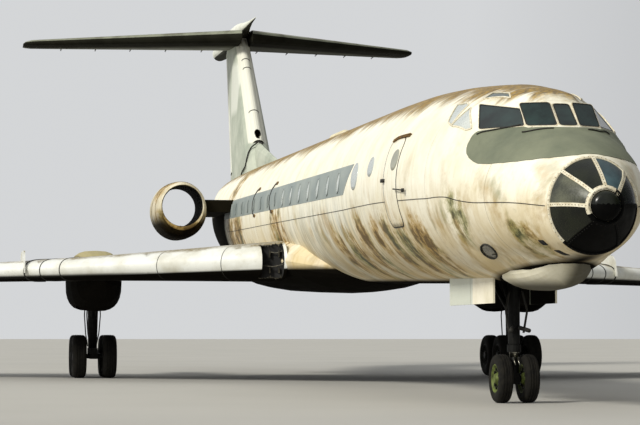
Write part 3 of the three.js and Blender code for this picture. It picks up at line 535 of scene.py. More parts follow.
# Air intake at the foot of the fin's tube, painted near black as shade
MOUTH = {"height": 2.475, "half_height": 0.115, "half_width": 0.085}

# Real sizes of the patterns, in millimetres
MOTTLE = 700
SPECKLE = 60
CLUMP = 260
DRIP_WIDTH = 150
PATCH_WIDTH = 520
TONE_WIDTH = 900
DUST = 420
SPECKS = 25
GRAIN = 14
SEAM_WIDTH = 9
# Depths of the grain in paint and in other finishes, in metres
PAINT_GRAIN = 0.004
FINE_GRAIN = 0.002
BODY_RADIUS = 1.45
GLASS_IOR = 1.52


def per_metre(millimetres):
    """Noise scale whose features are about this size."""
    return 1000 / millimetres


def linear(value):
    """sRGB hex such as "e4dec9" as linear red, green, blue and alpha."""
    channels = [int(value[i:i + 2], 16) / 255 for i in (0, 2, 4)]
    return tuple(c / 12.92 if c <= 0.04045 else ((c + 0.055) / 1.055) ** 2.4 for c in channels) + (1.0,)


def settle(tree, node, inputs):
    """Sets or links a node's inputs, given in order or by key."""
    for key, value in (inputs.items() if isinstance(inputs, dict) else enumerate(inputs)):
        if isinstance(value, bpy.types.NodeSocket):
            tree.links.new(value, node.inputs[key])
        else:
            node.inputs[key].default_value = value


def add(tree, kind, inputs=(), output=0):
    """Adds a node with its settings and inputs, and gives one of its outputs."""
    name, settings = kind
    made = tree.nodes.new(name)
    for key, value in settings.items():
        setattr(made, key, value)
    settle(tree, made, inputs)
    return made.outputs[output] if made.outputs else made


def start(name):
    """Material with an empty tree, and its shader."""
    material = bpy.data.materials.new(name)
    material.use_nodes = True
    tree = material.node_tree
    tree.nodes.clear()
    surface = add(tree, SHADER)
    add(tree, OUTPUT, {"Surface": surface})
    return material, tree, surface.node


def level_places(tree):
    """Place, span, station and height over the body axis, from the frame's coordinates."""
    shift = (0.0, PIVOT_STATION - MID_STATION - PIVOT_STATION * math.cos(STANCE),
             AXIS_HEIGHT - PIVOT_STATION * math.sin(STANCE))
    moved = add(tree, MOVE, (add(tree, PLACE, output="Object"), shift))
    level = add(tree, TURN, {"Vector": moved, "Rotation": (-STANCE, 0, 0)})
    x = add(tree, SPLIT, (level,))
    return level, x, x.node.outputs[1], x.node.outputs[2]


def faded(tree, *edges):
    """Product of fades, each from 0 at one value to its most at another."""
    share = 1.0
    for value, none, full, *most in edges:
        share = add(tree, TIMES, (share, add(tree, RANGE, (value, none, full, 0.0, *(most or [1.0])))))
    return share


def seam_lines(tree, value, first, pitch):
    """1 on lines of one seam width at a regular pitch."""
    folded = add(tree, REPEAT, (add(tree, MINUS, (value, first - pitch / 2)), pitch))
    return add(tree, CLOSE_TO, (folded, pitch / 2, SEAM_WIDTH / 2000))


def drips(tree, s, arc, width, stretch):
    """Noise drawn out down the sides, as rain leaves it."""
    run = add(tree, JOIN, (s, add(tree, TIMES, (arc, 1 / stretch))))
    return add(tree, NOISE, {"Vector": run, "Scale": per_metre(width), "Detail": 6.0, "Roughness": 0.62})


def painted_shade_zone(tree, zone, up, x, across, s, h):
    """Where shade is painted by place. Up is the height part of the way a face looks."""
    if zone == "body":
        # Painted shade on the keel and behind the engines
        rise = add(tree, RANGE, (s, 0.6, 3.6, 0.30, 0.0))
        keel = add(tree, RANGE, (add(tree, MINUS, (h, rise)), -1.37, -1.42))
        return add(tree, LARGER, (faded(tree, (s, 23.5, 24.0), (h, 0.45, 0.2)), keel))
    if zone == "radome":
        # Painted shade on its port half and low down
        port = add(tree, SMOOTH, (x, -0.18, 0.10, 0.0, 0.86))
        return add(tree, LARGER, (port, add(tree, SMOOTH, (h, -1.36, -1.50, 0.0, 0.85))))
    if zone == "tailplane":
        # Painted shade under it, to port and behind the leading edge
        behind = add(tree, TIMES_PLUS, (across, -TAIL_SWEEP, s))
        fore = add(tree, RANGE, (behind, TAIL_LINE + 0.7, TAIL_LINE + 2.2, 0.95, 0.1))
        share = add(tree, LARGER, (fore, add(tree, RANGE, (x, -0.1, 0.1, 0.0, 0.75))))
        return add(tree, TIMES, (share, add(tree, RANGE, (up, 0.5, 0.2))))
    if zone == "bay_side":
        # Painted shade on the door's side that looks toward the middle of the bay
        inward = add(tree, TIMES, (up.node.outputs[0], x))
        return add(tree, RANGE, (inward, -0.02, -0.05))
    if zone == "belly":
        # Painted shade low on the belly fairing
        return add(tree, RANGE, (h, -1.10, -1.2))
    # Painted shade under the wing's chord plane
    plane = WING_ROOT["height"] + WING_ROOT["span"] * WING_DROP
    return add(tree, RANGE, (add(tree, TIMES_PLUS, (across, WING_DROP, h)), plane - 0.125, plane - 0.155))


def fin_coats(tree, x, s, h, tube):
    """The fin's lighter plate, its pale leading tube, and painted shade in black over the mouth at the tube's
    foot.
    """
    plate = faded(tree, (s, 30.2, 30.35), (s, 31.9, 31.75), (h, 3.1, 3.3), (h, 4.7, 4.5, 0.8))
    behind = add(tree, TIMES_PLUS, (h, -TUBE_SLOPE, s))
    on_tube = faded(tree, (behind, TUBE_LINE + 0.12, TUBE_LINE + 0.10), (h, 2.18, 2.24))
    out = add(tree, TIMES, (x, 1 / MOUTH["half_width"]))
    over = add(tree, TIMES_PLUS, (h, 1 / MOUTH["half_height"], -MOUTH["height"] / MOUTH["half_height"]))
    away = add(tree, LENGTH, (add(tree, JOIN, (out, over)),), 1)
    # The mouth's black is painted shade
    return [(plate, linear("dadcd0")), (on_tube, linear(tube)),
            (add(tree, RANGE, (away, 1.05, 0.98)), linear("0a0a09"))]


def stain_coats(tree, level, s, h, arc, broad, thin, streaks):
    """Golden film, rust runs, patches and marked stains down the sides, in the order they lie."""
    low = add(tree, SMOOTH, (h, 0.6, -0.9, 0.14, 1.0))
    film = add(tree, TIMES, (add(tree, RANGE, (h, -0.1, -1.3, 0.0, 0.85 * streaks)),
                             add(tree, RANGE, (broad, 0.3, 0.55, 0.3, 1.0))))
    rust = add(tree, TIMES, (add(tree, RANGE, (thin, 0.48, 0.74, 0.0, 0.55)), low))
    tone = add(tree, RANGE, (drips(tree, s, arc, TONE_WIDTH, 1.5), 0.48, 0.62))
    patches = drips(tree, s, arc, PATCH_WIDTH, 1.8)
    patched = add(tree, TIMES, (add(tree, RANGE, (patches, 0.52, 0.66, 0.0, streaks)), low))
    place = add(tree, JOIN, (s, h))
    stained = 0.0
    for station, height, reach, strength in STAINS:
        away = add(tree, APART, (place, (station, height, 0.0)), 1)
        near = add(tree, RANGE, (away, 1.15 * reach, 0.2 * reach, 0.0, strength))
        stained = add(tree, LARGER, (stained, near))
    clumps = add(tree, NOISE, {"Vector": level, "Scale": per_metre(CLUMP), "Detail": 7.0, "Roughness": 0.7})
    mottled = add(tree, TIMES_PLUS, (stained, 0.22, add(tree, TIMES_PLUS, (thin, 0.5, clumps))))
    halo = faded(tree, (stained, 0.0, 0.3), (mottled, 0.74, 0.88, 0.8))
    core = faded(tree, (stained, 0.0, 0.3), (mottled, 0.86, 0.99, 0.92))
    coats = [(film, linear("c6a65c")), (rust, linear("b0954f"))]
    for share, brown, green in ((patched, "a07f34", "6d7040"), (halo, "b08c3a", "8d8a4c"),
                                (core, "5a4310", "373a16")):
        coats.append((share, add(tree, MIX, {0: tone, 6: linear(brown), 7: linear(green)}, 2)))
    return coats


def moss_coat(tree, s, h, broad, fine, thin, most):
    """Moss along the roof, with a ragged lower edge that rises toward the nose."""
    ragged = add(tree, TIMES_PLUS, (broad, 0.5, add(tree, TIMES_PLUS, (thin, 0.55, h))))
    edge = add(tree, PLUS, (ragged, add(tree, RANGE, (s, 2.0, 4.8, 0.17, 0.0))))
    tone = add(tree, RANGE, (fine, 0.42, 0.62))
    return (add(tree, SMOOTH, (edge, 1.50, 1.74, 0.0, most)),
            add(tree, MIX, {0: tone, 6: linear("5a440f"), 7: linear("a17f22")}, 2))


def weathered_paint(name, clean, worn, dirt="7d6a3c", moss=0.0, streaks=0.0, wash=0.0, painted_shade_depth=0.95, seams=None,
                    roughness=0.5, under=(-0.45, -0.72), zone=None, tube=None, cap=None, crust=None,
                    rear=None):
    """Old paint on aluminium: chalky, mottled and rain-marked, with painted shade on faces that look down,
    coat by coat.
    """
    material, tree, shader = start(name)
    level, x, s, h = level_places(tree)
    broad = add(tree, NOISE, {"Vector": level, "Scale": per_metre(MOTTLE), "Detail": 6.0, "Roughness": 0.6})
    fine = add(tree, NOISE, {"Vector": level, "Scale": per_metre(SPECKLE), "Detail": 5.0, "Roughness": 0.65})
    height = add(tree, NOISE, {"Vector": level, "Scale": per_metre(GRAIN), "Detail": 3.0})
    up = add(tree, SPLIT, (add(tree, FACING, output="Normal"),)).node.outputs[2]
    across = add(tree, SIZE_OF, (x,))
    arc = add(tree, TIMES, (add(tree, ANGLE_OF, (h, across)), BODY_RADIUS))
    thin = drips(tree, s, arc, DRIP_WIDTH, 7.0)
    coats = [(add(tree, RANGE, (broad, 0.42, 0.72)), linear(worn)),
             (add(tree, RANGE, (fine, 0.58, 0.85, 0.0, 0.3)), linear(dirt))]
    if tube:
        coats += fin_coats(tree, x, s, h, tube)
    if crust:
        ragged = add(tree, RANGE, (add(tree, TIMES_PLUS, (broad, 0.35, up)), 1.07, 1.16))
        coats.append((add(tree, TIMES, (ragged, add(tree, RANGE, (fine, 0.35, 0.6, 0.4, 1.0)))),
                      linear(crust)))
    if rear:
        coats.append((add(tree, RANGE, (s, 4.52, 4.54, 0.0, 0.8)), linear(rear)))
    if cap:
        coats.append((add(tree, RANGE, (h, -1.04, -0.98)), linear(cap)))
    if wash:
        share = faded(tree, (s, 5.5, 9.5), (s, 17.0, 12.5), (h, 0.1, -0.5), (thin, 0.4, 0.62, wash))
        coats.append((share, linear("a9b8ba")))
    if streaks:
        coats += stain_coats(tree, level, s, h, arc, broad, thin, streaks)
    if moss:
        coats.append(moss_coat(tree, s, h, broad, fine, thin, moss))
    if seams:
        line = seam_lines(tree, s, *seams)
        coats.append((add(tree, TIMES, (line, 0.5)), linear("54492f")))
        height = add(tree, TIMES_PLUS, (line, -1.5, height))
    # Painted shade: faces that look down turn near black, and the zone adds more by place
    shade = add(tree, SMOOTH, (up, under[0], under[1], 0.0, painted_shade_depth))
    if zone:
        shade = add(tree, LARGER, (shade, painted_shade_zone(tree, zone, up, x, across, s, h)))
    coats.append((shade, linear("100e0a")))
    colour = linear(clean)
    for share, over in coats:
        colour = add(tree, MIX, {0: share, 6: colour, 7: over}, 2)
    rough = add(tree, RANGE, (broad, 0.3, 0.7, roughness - 0.08, roughness + 0.15))
    # The painted shade also loses its shine and grows rough, so it stays dark
    settle(tree, shader, {
        "Base Color": colour, "Roughness": add(tree, LARGER, (rough, shade)),
        "Specular IOR Level": add(tree, RANGE, (shade, 0.0, 1.0, 0.5, 0.02)),
        "Normal": add(tree, BUMP, {"Height": height, "Strength": 0.25, "Distance": PAINT_GRAIN})})
    return material


def plain_finish(name, colour, worn, roughness, metallic=0.0, grain=8, bump=0.15, coat=0.0, specular=0.5):
    """A finish with a mottled colour and a fine grain, whose size is in millimetres."""
    material, tree, shader = start(name)
    coords = add(tree, PLACE, output="Object")
    mottle = add(tree, NOISE, {"Vector": coords, "Scale": per_metre(grain * 12), "Detail": 6.0,
                               "Roughness": 0.6})
    fine = add(tree, NOISE, {"Vector": coords, "Scale": per_metre(grain), "Detail": 3.0})
    share = add(tree, RANGE, (mottle, 0.35, 0.65))
    settle(tree, shader, {
        "Base Color": add(tree, MIX, {0: share, 6: linear(colour), 7: linear(worn)}, 2),
        "Roughness": add(tree, RANGE, (mottle, 0.3, 0.7, max(roughness - 0.08, 0.02), roughness + 0.1)),
        "Normal": add(tree, BUMP, {"Height": fine, "Strength": bump, "Distance": FINE_GRAIN}),
        "Metallic": metallic, "Specular IOR Level": specular, "Coat Weight": coat})
    return material


def old_glazing(name, colour, dust_and_painted_reflection, roughness=0.09, dust_and_painted_reflection_share=0.5, coat=0.6, specular=0.5):
    """Dark panes with a dusty film; on the nose, its colour is also painted sky reflection and shade."""
    material, tree, shader = start(name)
    coords = add(tree, PLACE, output="Object")
    film = add(tree, NOISE, {"Vector": coords, "Scale": per_metre(DUST), "Detail": 5.0, "Roughness": 0.55})
    specks = add(tree, NOISE, {"Vector": coords, "Scale": per_metre(SPECKS), "Detail": 4.0, "Roughness": 0.6})
    share = add(tree, RANGE, (film, 0.38, 0.72, 0.0, dust_and_painted_reflection_share))
    settle(tree, shader, {
        "Base Color": add(tree, MIX, {0: share, 6: linear(colour), 7: linear(dust_and_painted_reflection)}, 2),
        "Roughness": add(tree, RANGE, (specks, 0.45, 0.75, roughness, roughness + 0.2)),
        "IOR": GLASS_IOR, "Specular IOR Level": specular, "Coat Weight": coat, "Coat Roughness": 0.04})
    return material


# Marked stains on the sides of the body: station, height, reach and strength
STAINS = [(2.66, -0.60, 0.40, 0.75), (1.15, -0.93, 0.30, 0.8), (4.37, -0.92, 0.50, 1.0),
          (5.35, -0.98, 0.50, 0.9),
          (6.25, -0.86, 0.50, 1.0), (7.05, -0.74, 0.36, 0.8), (8.10, -0.88, 0.55, 1.0),
          (9.30, -1.00, 0.50, 1.0),
          (10.3, -0.90, 0.45, 0.9), (21.6, -0.45, 0.9, 0.9), (22.8, -0.75, 1.0, 1.0), (23.2, 0.95, 0.7, 0.8),
          (16.0, -0.55, 0.9, 0.8)]

MATERIALS = {}


def make_materials(colours):
    """Every finish on the aircraft, named for what it really is."""
    m = MATERIALS
    # Gloss paint gone chalky on riveted sheet: soft highlights, yellowed patches, rain streaks, a mossy roof,
    # and painted shade along the keel and behind the engines
    m["skin"] = weathered_paint("chalked_gloss_paint_on_riveted_aluminium", colours.body, "dfd8be", moss=0.97,
                                streaks=0.8, wash=0.8, seams=(3.60, 1.9), under=(-2.0, -3.0), zone="body")
    # Belly fairing: the same paint, run with brown from the wing root, and black low down as painted shade
    m["belly"] = weathered_paint("oil_streaked_paint_on_belly_fairing", "ece5cf", "d6caa4", streaks=0.6,
                                 under=(-2.0, -3.0), zone="belly")
    # The same paint on the wing: whiter where rain washes it, black underneath as painted shade
    m["wing"] = weathered_paint("chalked_paint_on_wing_skin", "dcddd6", "bab7a6", roughness=0.42, painted_shade_depth=0.985,
                                under=(-0.5, -0.8),
                                zone="wing", crust="6f5c22")
    # Pods and pylons: the same paint under years of grease, near black all round as painted shade under the
    # wing, with a mossy cream top
    m["grime_and_painted_shade"] = weathered_paint("greasy_paint_on_pods_in_painted_shade", "1d1b16", "12110d", painted_shade_depth=0.985,
                                 roughness=0.75, dirt="3a3220", under=(0.9, 0.3), cap="a1966a",
                                 crust="7a6a35")
    # Roof fairing: mossy cream
    m["fairing"] = weathered_paint("mossy_cream_paint_on_fairings", "e4dab9", "a89a66", dirt="6d5c2a",
                                   painted_shade_depth=0.98)
    # Tailplane paint: dull grey green, with painted shade under it, to port and behind its leading edge, and
    # moss on top
    m["tail"] = weathered_paint("chalked_paint_on_tail_skin", "7b7e6a", "4c4f3e", dirt="33311a", painted_shade_depth=0.9,
                                under=(-2.0, -3.0), zone="tailplane", crust="4a3418")
    # Washed paint on the rudder and bullet fairing: nearly white
    m["tail_white"] = weathered_paint("washed_white_paint_on_tail_edges", "e3e4d8", "c3c5b4", roughness=0.42)
    # Fin: grey green sides behind a nearly white leading tube, with painted shade in its intake mouth
    m["fin"] = weathered_paint("chalked_grey_green_paint_on_fin", "b7bcab", "98a091", tube="dbdacb")
    # Glass fibre radome: smooth, cream, a little glossier than the metal round it, with painted shade on its
    # port half and low down
    m["radome"] = weathered_paint("aged_paint_on_glass_fibre", "ece6cf", "cfc59f", painted_shade_depth=0.9, roughness=0.4,
                                  under=(-2.0, -3.0), zone="radome")
    # Nose gear doors: cream outside, near black as painted shade on the side that faces the bay
    m["door"] = weathered_paint("cream_paint_on_gear_doors", "efe9d5", "d3cbb0", painted_shade_depth=0.96, zone="bay_side",
                                rear="bfc6bb")
    # Matt panel against glare: flat grey green with no highlight
    m["grey"] = weathered_paint("faded_matt_grey_green_paint", "767a63", "5f6553", roughness=0.66,
                                dirt="6b6238", painted_shade_depth=0.5)
    # Window band: blue grey, worn paler in patches
    m["band"] = weathered_paint("faded_blue_grey_paint_on_window_band", "7f8987", "99a09b", dirt="6b6d60",
                                painted_shade_depth=0.5)
    # Enamel on window frames: cream with dirty edges
    m["frames"] = plain_finish("brushed_cream_enamel_on_window_frames", "e2dcc6", "bfb394", 0.5, grain=5)
    # Laminated cockpit glass seen from outside: near black with sharp reflections under dust
    m["glass"] = old_glazing("dusty_dark_cockpit_glass", "081211", "2a403c", dust_and_painted_reflection_share=0.7, coat=0.12,
                             specular=0.3)
    # Tinted nose glass, lit: olive as a painted reflection of the sky
    m["nose_glass"] = old_glazing("tinted_nose_glass", "2b2d22", "6f705a", roughness=0.24, dust_and_painted_reflection_share=0.9,
                                  coat=0.15)
    # Darker copy of the nose glass: painted shade
    m["nose_glass_painted_shade"] = old_glazing("tinted_nose_glass_in_shade", "080b06", "2b2f1c", roughness=0.2,
                                      dust_and_painted_reflection_share=0.6,
                                      coat=0.0, specular=0.3)
    # Teal copy of the nose glass to port: painted shade under a blue sky
    m["nose_glass_port"] = old_glazing("teal_nose_glass_in_painted_shade", "1f2f33", "4f6a70", roughness=0.3,
                                       dust_and_painted_reflection_share=0.7,
                                       coat=0.1, specular=0.3)
    # Satin black enamel under the nose: swallows the light. It also stands as painted shade on glass, bars,
    # rings and dome that face away from the light
    m["black_enamel_and_painted_shade"] = plain_finish("satin_black_enamel_and_painted_shade", "020202", "050504", 0.6, grain=10, bump=0.05,
                                    specular=0.06)
    # Blinds behind cabin glass: pale and flat with a faint gloss
    m["pale_glass"] = old_glazing("blind_behind_cabin_glass", "a9b1ae", "ced1c9", roughness=0.25,
                                  dust_and_painted_reflection_share=0.9)
    # Blind behind the door's pane: dull olive grey
    m["blind"] = old_glazing("dirty_blind_behind_door_glass", "8d8e80", "a5a592", roughness=0.35,
                             dust_and_painted_reflection_share=0.8, coat=0.1)
    # Small panes far back: dark slots in the band
    m["dark_slot"] = old_glazing("dusty_cabin_glass", "3c4644", "6a7370", roughness=0.3, dust_and_painted_reflection_share=0.6,
                                 coat=0.1)
    # Perished rubber seals: dull black with grey cracks
    m["seal"] = plain_finish("perished_black_rubber_seal", "12110d", "26241d", 0.75, grain=4)
    # Tyre rubber gone grey: no shine at all
    m["tyre"] = plain_finish("perished_tyre_rubber", "0f0e0c", "211f1a", 0.9, grain=6, bump=0.35,
                             specular=0.2)
    # Cast wheel: dull grey metal under brake dust
    m["rim"] = plain_finish("dulled_cast_aluminium_wheel", "2f2f2a", "171611", 0.6, metallic=0.3, grain=6,
                            specular=0.2)
    # Nose wheels: sun bleached green enamel
    m["rim_green"] = plain_finish("faded_green_enamel_on_wheel", "6f7c3c", "2a2f17", 0.6, grain=10,
                                  specular=0.2)
    # Enamelled steel legs: greasy, and nearly black as painted shade under the body and wings
    m["leg"] = plain_finish("greasy_grey_enamel_on_steel_leg_in_painted_shade", "141513", "0b0a08", 0.6, grain=8,
                            specular=0.15)
    # Bare piston: the only mirror shine. The same chrome makes the painted glint in the lamp
    m["chrome"] = plain_finish("dulled_chrome_on_steel_piston", "a5a49b", "6b675a", 0.3, grain=5,
                               metallic=1.0)
    # Primer inside bays, torn openings and vents: dirty and matt, and near black as painted shade
    m["inside"] = plain_finish("dirty_primer_in_painted_shade_in_bays", "100f0c", "070605", 0.85, grain=20)
    # Torn sheet: dull bare metal with dark tarnish
    m["torn"] = plain_finish("torn_bare_aluminium", "5b5647", "1c1912", 0.55, grain=6, metallic=0.4)
    # Intake lip: cream paint worn to grey, stained brown, with painted shade on the faces that look down
    m["ring"] = weathered_paint("stained_cream_paint_on_intake_ring", "d9d1b8", "86754b", dirt="4a3716",
                                painted_shade_depth=0.97,
                                streaks=0.9, under=(0.0, -0.5))
    # Intake lining: soot over metal
    m["throat"] = plain_finish("sooted_intake_lining", "12110e", "090807", 0.9, grain=14, specular=0.04)
    # Lamp glass: clear but scratched, so it glints
    m["lamp"] = plain_finish("scratched_lamp_glass", "6a6550", "3b3526", 0.25, grain=4, bump=0.02, coat=0.3)
    # Rust at fittings: orange brown and dead flat
    m["rust"] = plain_finish("rust_and_old_sealant", "7c5a1c", "3f2f12", 0.85, grain=5, bump=0.3)


# Pieces

NOSE_BAY = {"front": 3.56, "rear": 5.83, "half": 0.396, "ceiling": -1.12, "height": 1.4}
SKIN_SEGMENTS = 168
# Rings of the skin: from station, to station, step
SKIN_RINGS = ((0.60, 4.40, 0.025), (4.40, 9.0, 0.12), (9.0, 24.0, 0.3), (24.0, 34.4, 0.16))
# Doors: side, front, rear, foot, top and the station of the pane
DOORS = {"service_door_starboard": (-1, 4.96, 5.76, -0.65, 0.60, 5.19),
         "entry_door_port": (1, 4.70, 5.42, -0.65, 0.96, 5.06)}
DOOR_CORNER = 0.13
# Pane of a door: height, half length, half height
DOOR_PANE = (0.29, 0.20, 0.15)


class AIRLINER_OT_fuselage(Operator):
    """Builds the riveted skin of the body with its nose gear bay"""
    bl_idname = "airliner.fuselage"
    bl_label = "Fuselage skin"

    def execute(self, context):
        stations = np.concatenate([np.arange(*row) for row in SKIN_RINGS] + [[SKIN_RINGS[-1][1]]])
        angles = all_round(SKIN_SEGMENTS)
        rings = [skin_points(np.full_like(angles, s), angles) for s in stations]
        skin = Shape().add(*loft(rings)).done("fuselage_skin", ["skin", "inside"], replaced=["fuselage"],
                                              slot="cream_paint", sharp=40)
        cutter = self.bay_box()
        cut = skin.modifiers.new("nose_gear_bay", "BOOLEAN")
        cut.operation, cut.solver, cut.object = "DIFFERENCE", "EXACT", cutter
        context.view_layer.update()
        evaluated = skin.evaluated_get(context.evaluated_depsgraph_get())
        mesh = bpy.data.meshes.new_from_object(evaluated)
        skin.modifiers.clear()
        skin.data = mesh
        bpy.data.objects.remove(cutter)
        return {"FINISHED"}

    def bay_box(self):
        """Block that the nose gear's bay is cut with."""
        length, height = NOSE_BAY["rear"] - NOSE_BAY["front"], NOSE_BAY["height"]
        points, faces = box((0, NOSE_BAY["front"] + length / 2, NOSE_BAY["ceiling"] - height / 2),
                            (2 * NOSE_BAY["half"], length, height))
        return placed("bay_box", new_mesh("bay_box", to_row(points), faces, [MATERIALS["inside"]]))


def inset(points, margin):
    """Convex flat outline moved in by a margin."""
    points = np.asarray(points, float)
    middle = points.mean(axis=0)
    ahead = np.roll(points, -1, axis=0)
    run = ahead - points
    normals = np.stack([-run[:, 1], run[:, 0]], 1) / np.linalg.norm(run, axis=1)[:, None]
    normals *= np.sign(((middle - points) * normals).sum(1))[:, None]
    offsets = (normals * points).sum(1) + margin
    corners = []
    for i in range(len(points)):
        rows = np.array([normals[i - 1], normals[i]])
        corners.append(np.linalg.solve(rows, [offsets[i - 1], offsets[i]]))
    return np.array(corners)


def soften(points, radius, steps=4):
    """Convex flat outline with each corner rounded."""
    points = np.asarray(points, float)
    out = []
    for i, corner in enumerate(points):
        before, after = points[i - 1] - corner, points[(i + 1) % len(points)] - corner
        before /= np.linalg.norm(before)
        after /= np.linalg.norm(after)
        for k in range(steps + 1):
            t = k / steps
            out.append(corner + before * radius * (1 - t) ** 2 + after * radius * t**2)
    return np.array(out)


def in_facet(axes, outline, rise):
    """Flat outline placed in a facet and raised from it."""
    origin, u, v, normal = axes
    return origin + np.outer(outline[:, 0], u) + np.outer(outline[:, 1], v) + normal * rise


def flat_ring(axes, outer, inner, rise):
    """Flat frame between two outlines with the same count, in a facet."""
    places = ((outer, -PANE_DEPTH), (outer, rise), (inner, rise), (inner, -PANE_DEPTH))
    return loft([in_facet(axes, outline, up) for outline, up in places], caps=(False, False))


PANE_MARGIN = 0.026
PANE_DEPTH = 0.02
# Outlines of a pane, its seal and its frame: how much wider than the pane, corner radius, rise over the facet
PANE, SEAL, RIM = (0.0, 0.045, 0.003), (0.014, 0.05, 0.007), (0.024, 0.05, 0.005)
# Rear quarter panes and eyebrow windows of one side
QUARTER_PANES = {"upper": [(3.43, 0.68), (3.75, 0.95), (3.42, 0.945), (3.28, 0.90), (3.23, 0.63)],
                 "lower": [(3.21, 0.616), (3.11, 0.855), (2.62, 0.54), (2.72, 0.525)]}
EYEBROW = [(3.08, 0.671), (3.15, 0.522), (2.69, 0.433), (2.51, 0.465)]
# Anti-glare panel of one side, as station and height: its lower edge, and its upper edge under the panes
PANEL_LOW = [(2.53, 0.40), (2.53, 0.34), (2.49, 0.27), (2.42, 0.20), (2.30, 0.135), (2.16, 0.085),
             (2.03, 0.05),
             (1.75, 0.030), (1.47, 0.027), (1.25, 0.032), (1.05, 0.042), (0.86, 0.055), (0.74, 0.068),
             (0.66, 0.080)]
PANEL_TOP = [(2.53, 0.40), (2.52, 0.44), (2.49, 0.475), (2.44, 0.495), (1.72, 0.487), (1.49, 0.482)]
WIPERS = [(-1, (0.93, 2.42), (0.52, 1.84)), (-1, (0.55, 1.70), (0.20, 1.50)), (1, (0.24, 1.50), (0.60, 1.78))]


class AIRLINER_OT_cockpit(Operator):
    """Builds the cockpit's panes, frames, eyebrow windows, wipers and anti-glare panel"""
    bl_idname = "airliner.cockpit"
    bl_label = "Cockpit windows"

    def execute(self, context):
        glass, seals, frames = Shape(), Shape(), Shape()
        for corners in FACETS.values():
            axes = facet_axes(corners)
            origin, u, v, _ = axes
            flat = np.array([[(c - origin) @ u, (c - origin) @ v] for c in corners])
            pane, seal, rim = (soften(inset(flat, PANE_MARGIN - wider), radius) for wider, radius,
                               _ in (PANE, SEAL, RIM))
            glass.add(*loft([in_facet(axes, pane, PANE[2]), in_facet(axes, pane, -PANE_DEPTH)]))
            seals.add(*flat_ring(axes, seal, pane, SEAL[2]))
            frames.add(*flat_ring(axes, rim, seal, RIM[2]))
        self.rear_panes(frames)
        glass.done("cockpit_panes", "glass", replaced=["cockpit_glazing"], slot="dark_glazing", smooth=False)
        seals.done("cockpit_pane_seals", "seal", smooth=False)
        frames.done("cockpit_pane_frames", "frames", smooth=False)
        self.panel()
        self.wipers()
        return {"FINISHED"}

    def rear_panes(self, frames):
        """Rear quarter panes and eyebrow windows."""
        pale = Shape()
        for side in SIDES.values():
            outlines = [side_outline(pairs, side) for pairs in QUARTER_PANES.values()]
            outlines.append([(s, angle_of_span(s, side * span)) for s, span in EYEBROW])
            for look, outline in zip((0, 0, 1), outlines):
                pale.add(*patch(outline, 0.004, 0.012, 0.04), look=look)
                frames.add(*skin_line(outline, 0.02, 0.008, closed=True))
        pale.done("rear_quarter_and_eyebrow_panes", ["pale_glass", "dark_slot"])

    def panel(self):
        """Matt panel in front of the panes, from its lower edge to its upper."""
        shape = Shape()
        for side in SIDES.values():
            low = [(s, angle_at(s, h, side)) for s, h in PANEL_LOW] + [(0.645, math.pi / 2)]
            top = [(s, angle_at(s, h, side)) for s, h in PANEL_TOP] + [(1.49, math.pi / 2)]
            low, top = spread(low, 90), spread(top, 90)
            rows = [a + (b - a) * np.linspace(0, 1, 14)[:, None] for a, b in zip(low[1:], top[1:])]
            shape.add(*strip(rows, 0.007, 0.010))
        shape.done("anti_glare_panel", "grey", slot="grey_paint", sharp=50)

    def wipers(self):
        shape = Shape()
        for side, (x0, s0), (x1, s1) in WIPERS:
            pairs = []
            for t in np.linspace(0, 1, 9):
                s, span = s0 + (s1 - s0) * t, x0 + (x1 - x0) * t
                pairs.append((s, angle_of_span(s, side * span)))
            places, _ = on_skin(pairs, 0.018)
            shape.add(*tube(places, 0.009, 6))
        shape.done("wiper_arms", "seal")


# Bars between the panes of the nose, as degrees round from port, and their section over the glass
NOSE_BARS = (0, 45, 90, 135, 180, 235, 305)
NOSE_BAR = {"half": 0.022, "low": -0.016, "high": 0.013, "ring": 0.0145}
# Rows of rivets round the nose: station and count
RIVET_ROWS = ((0.58, 64), (0.111, 28))
# Finish of each sector of the nose's glass: 0 lit, with a painted sky reflection, 1 painted shade, 2 teal
# painted shade to port, 3 black: a panel from 235 to 305, painted shade beyond
NOSE_SECTORS = ((0, 45, 1), (45, 90, 2), (90, 135, 1), (135, 180, 0), (180, 235, 1), (235, 305, 3),
                (305, 360, 3))
# Rings round the glass: from and to station, and the part of the turn that is still cream; the rest is
# painted shade in black
NOSE_RINGS = ((0.09, 0.118, 55, 205), (0.5717, 0.5997, 0, 232))
NOSE_LOOKS = ["nose_glass", "nose_glass_painted_shade", "nose_glass_port", "black_enamel_and_painted_shade"]


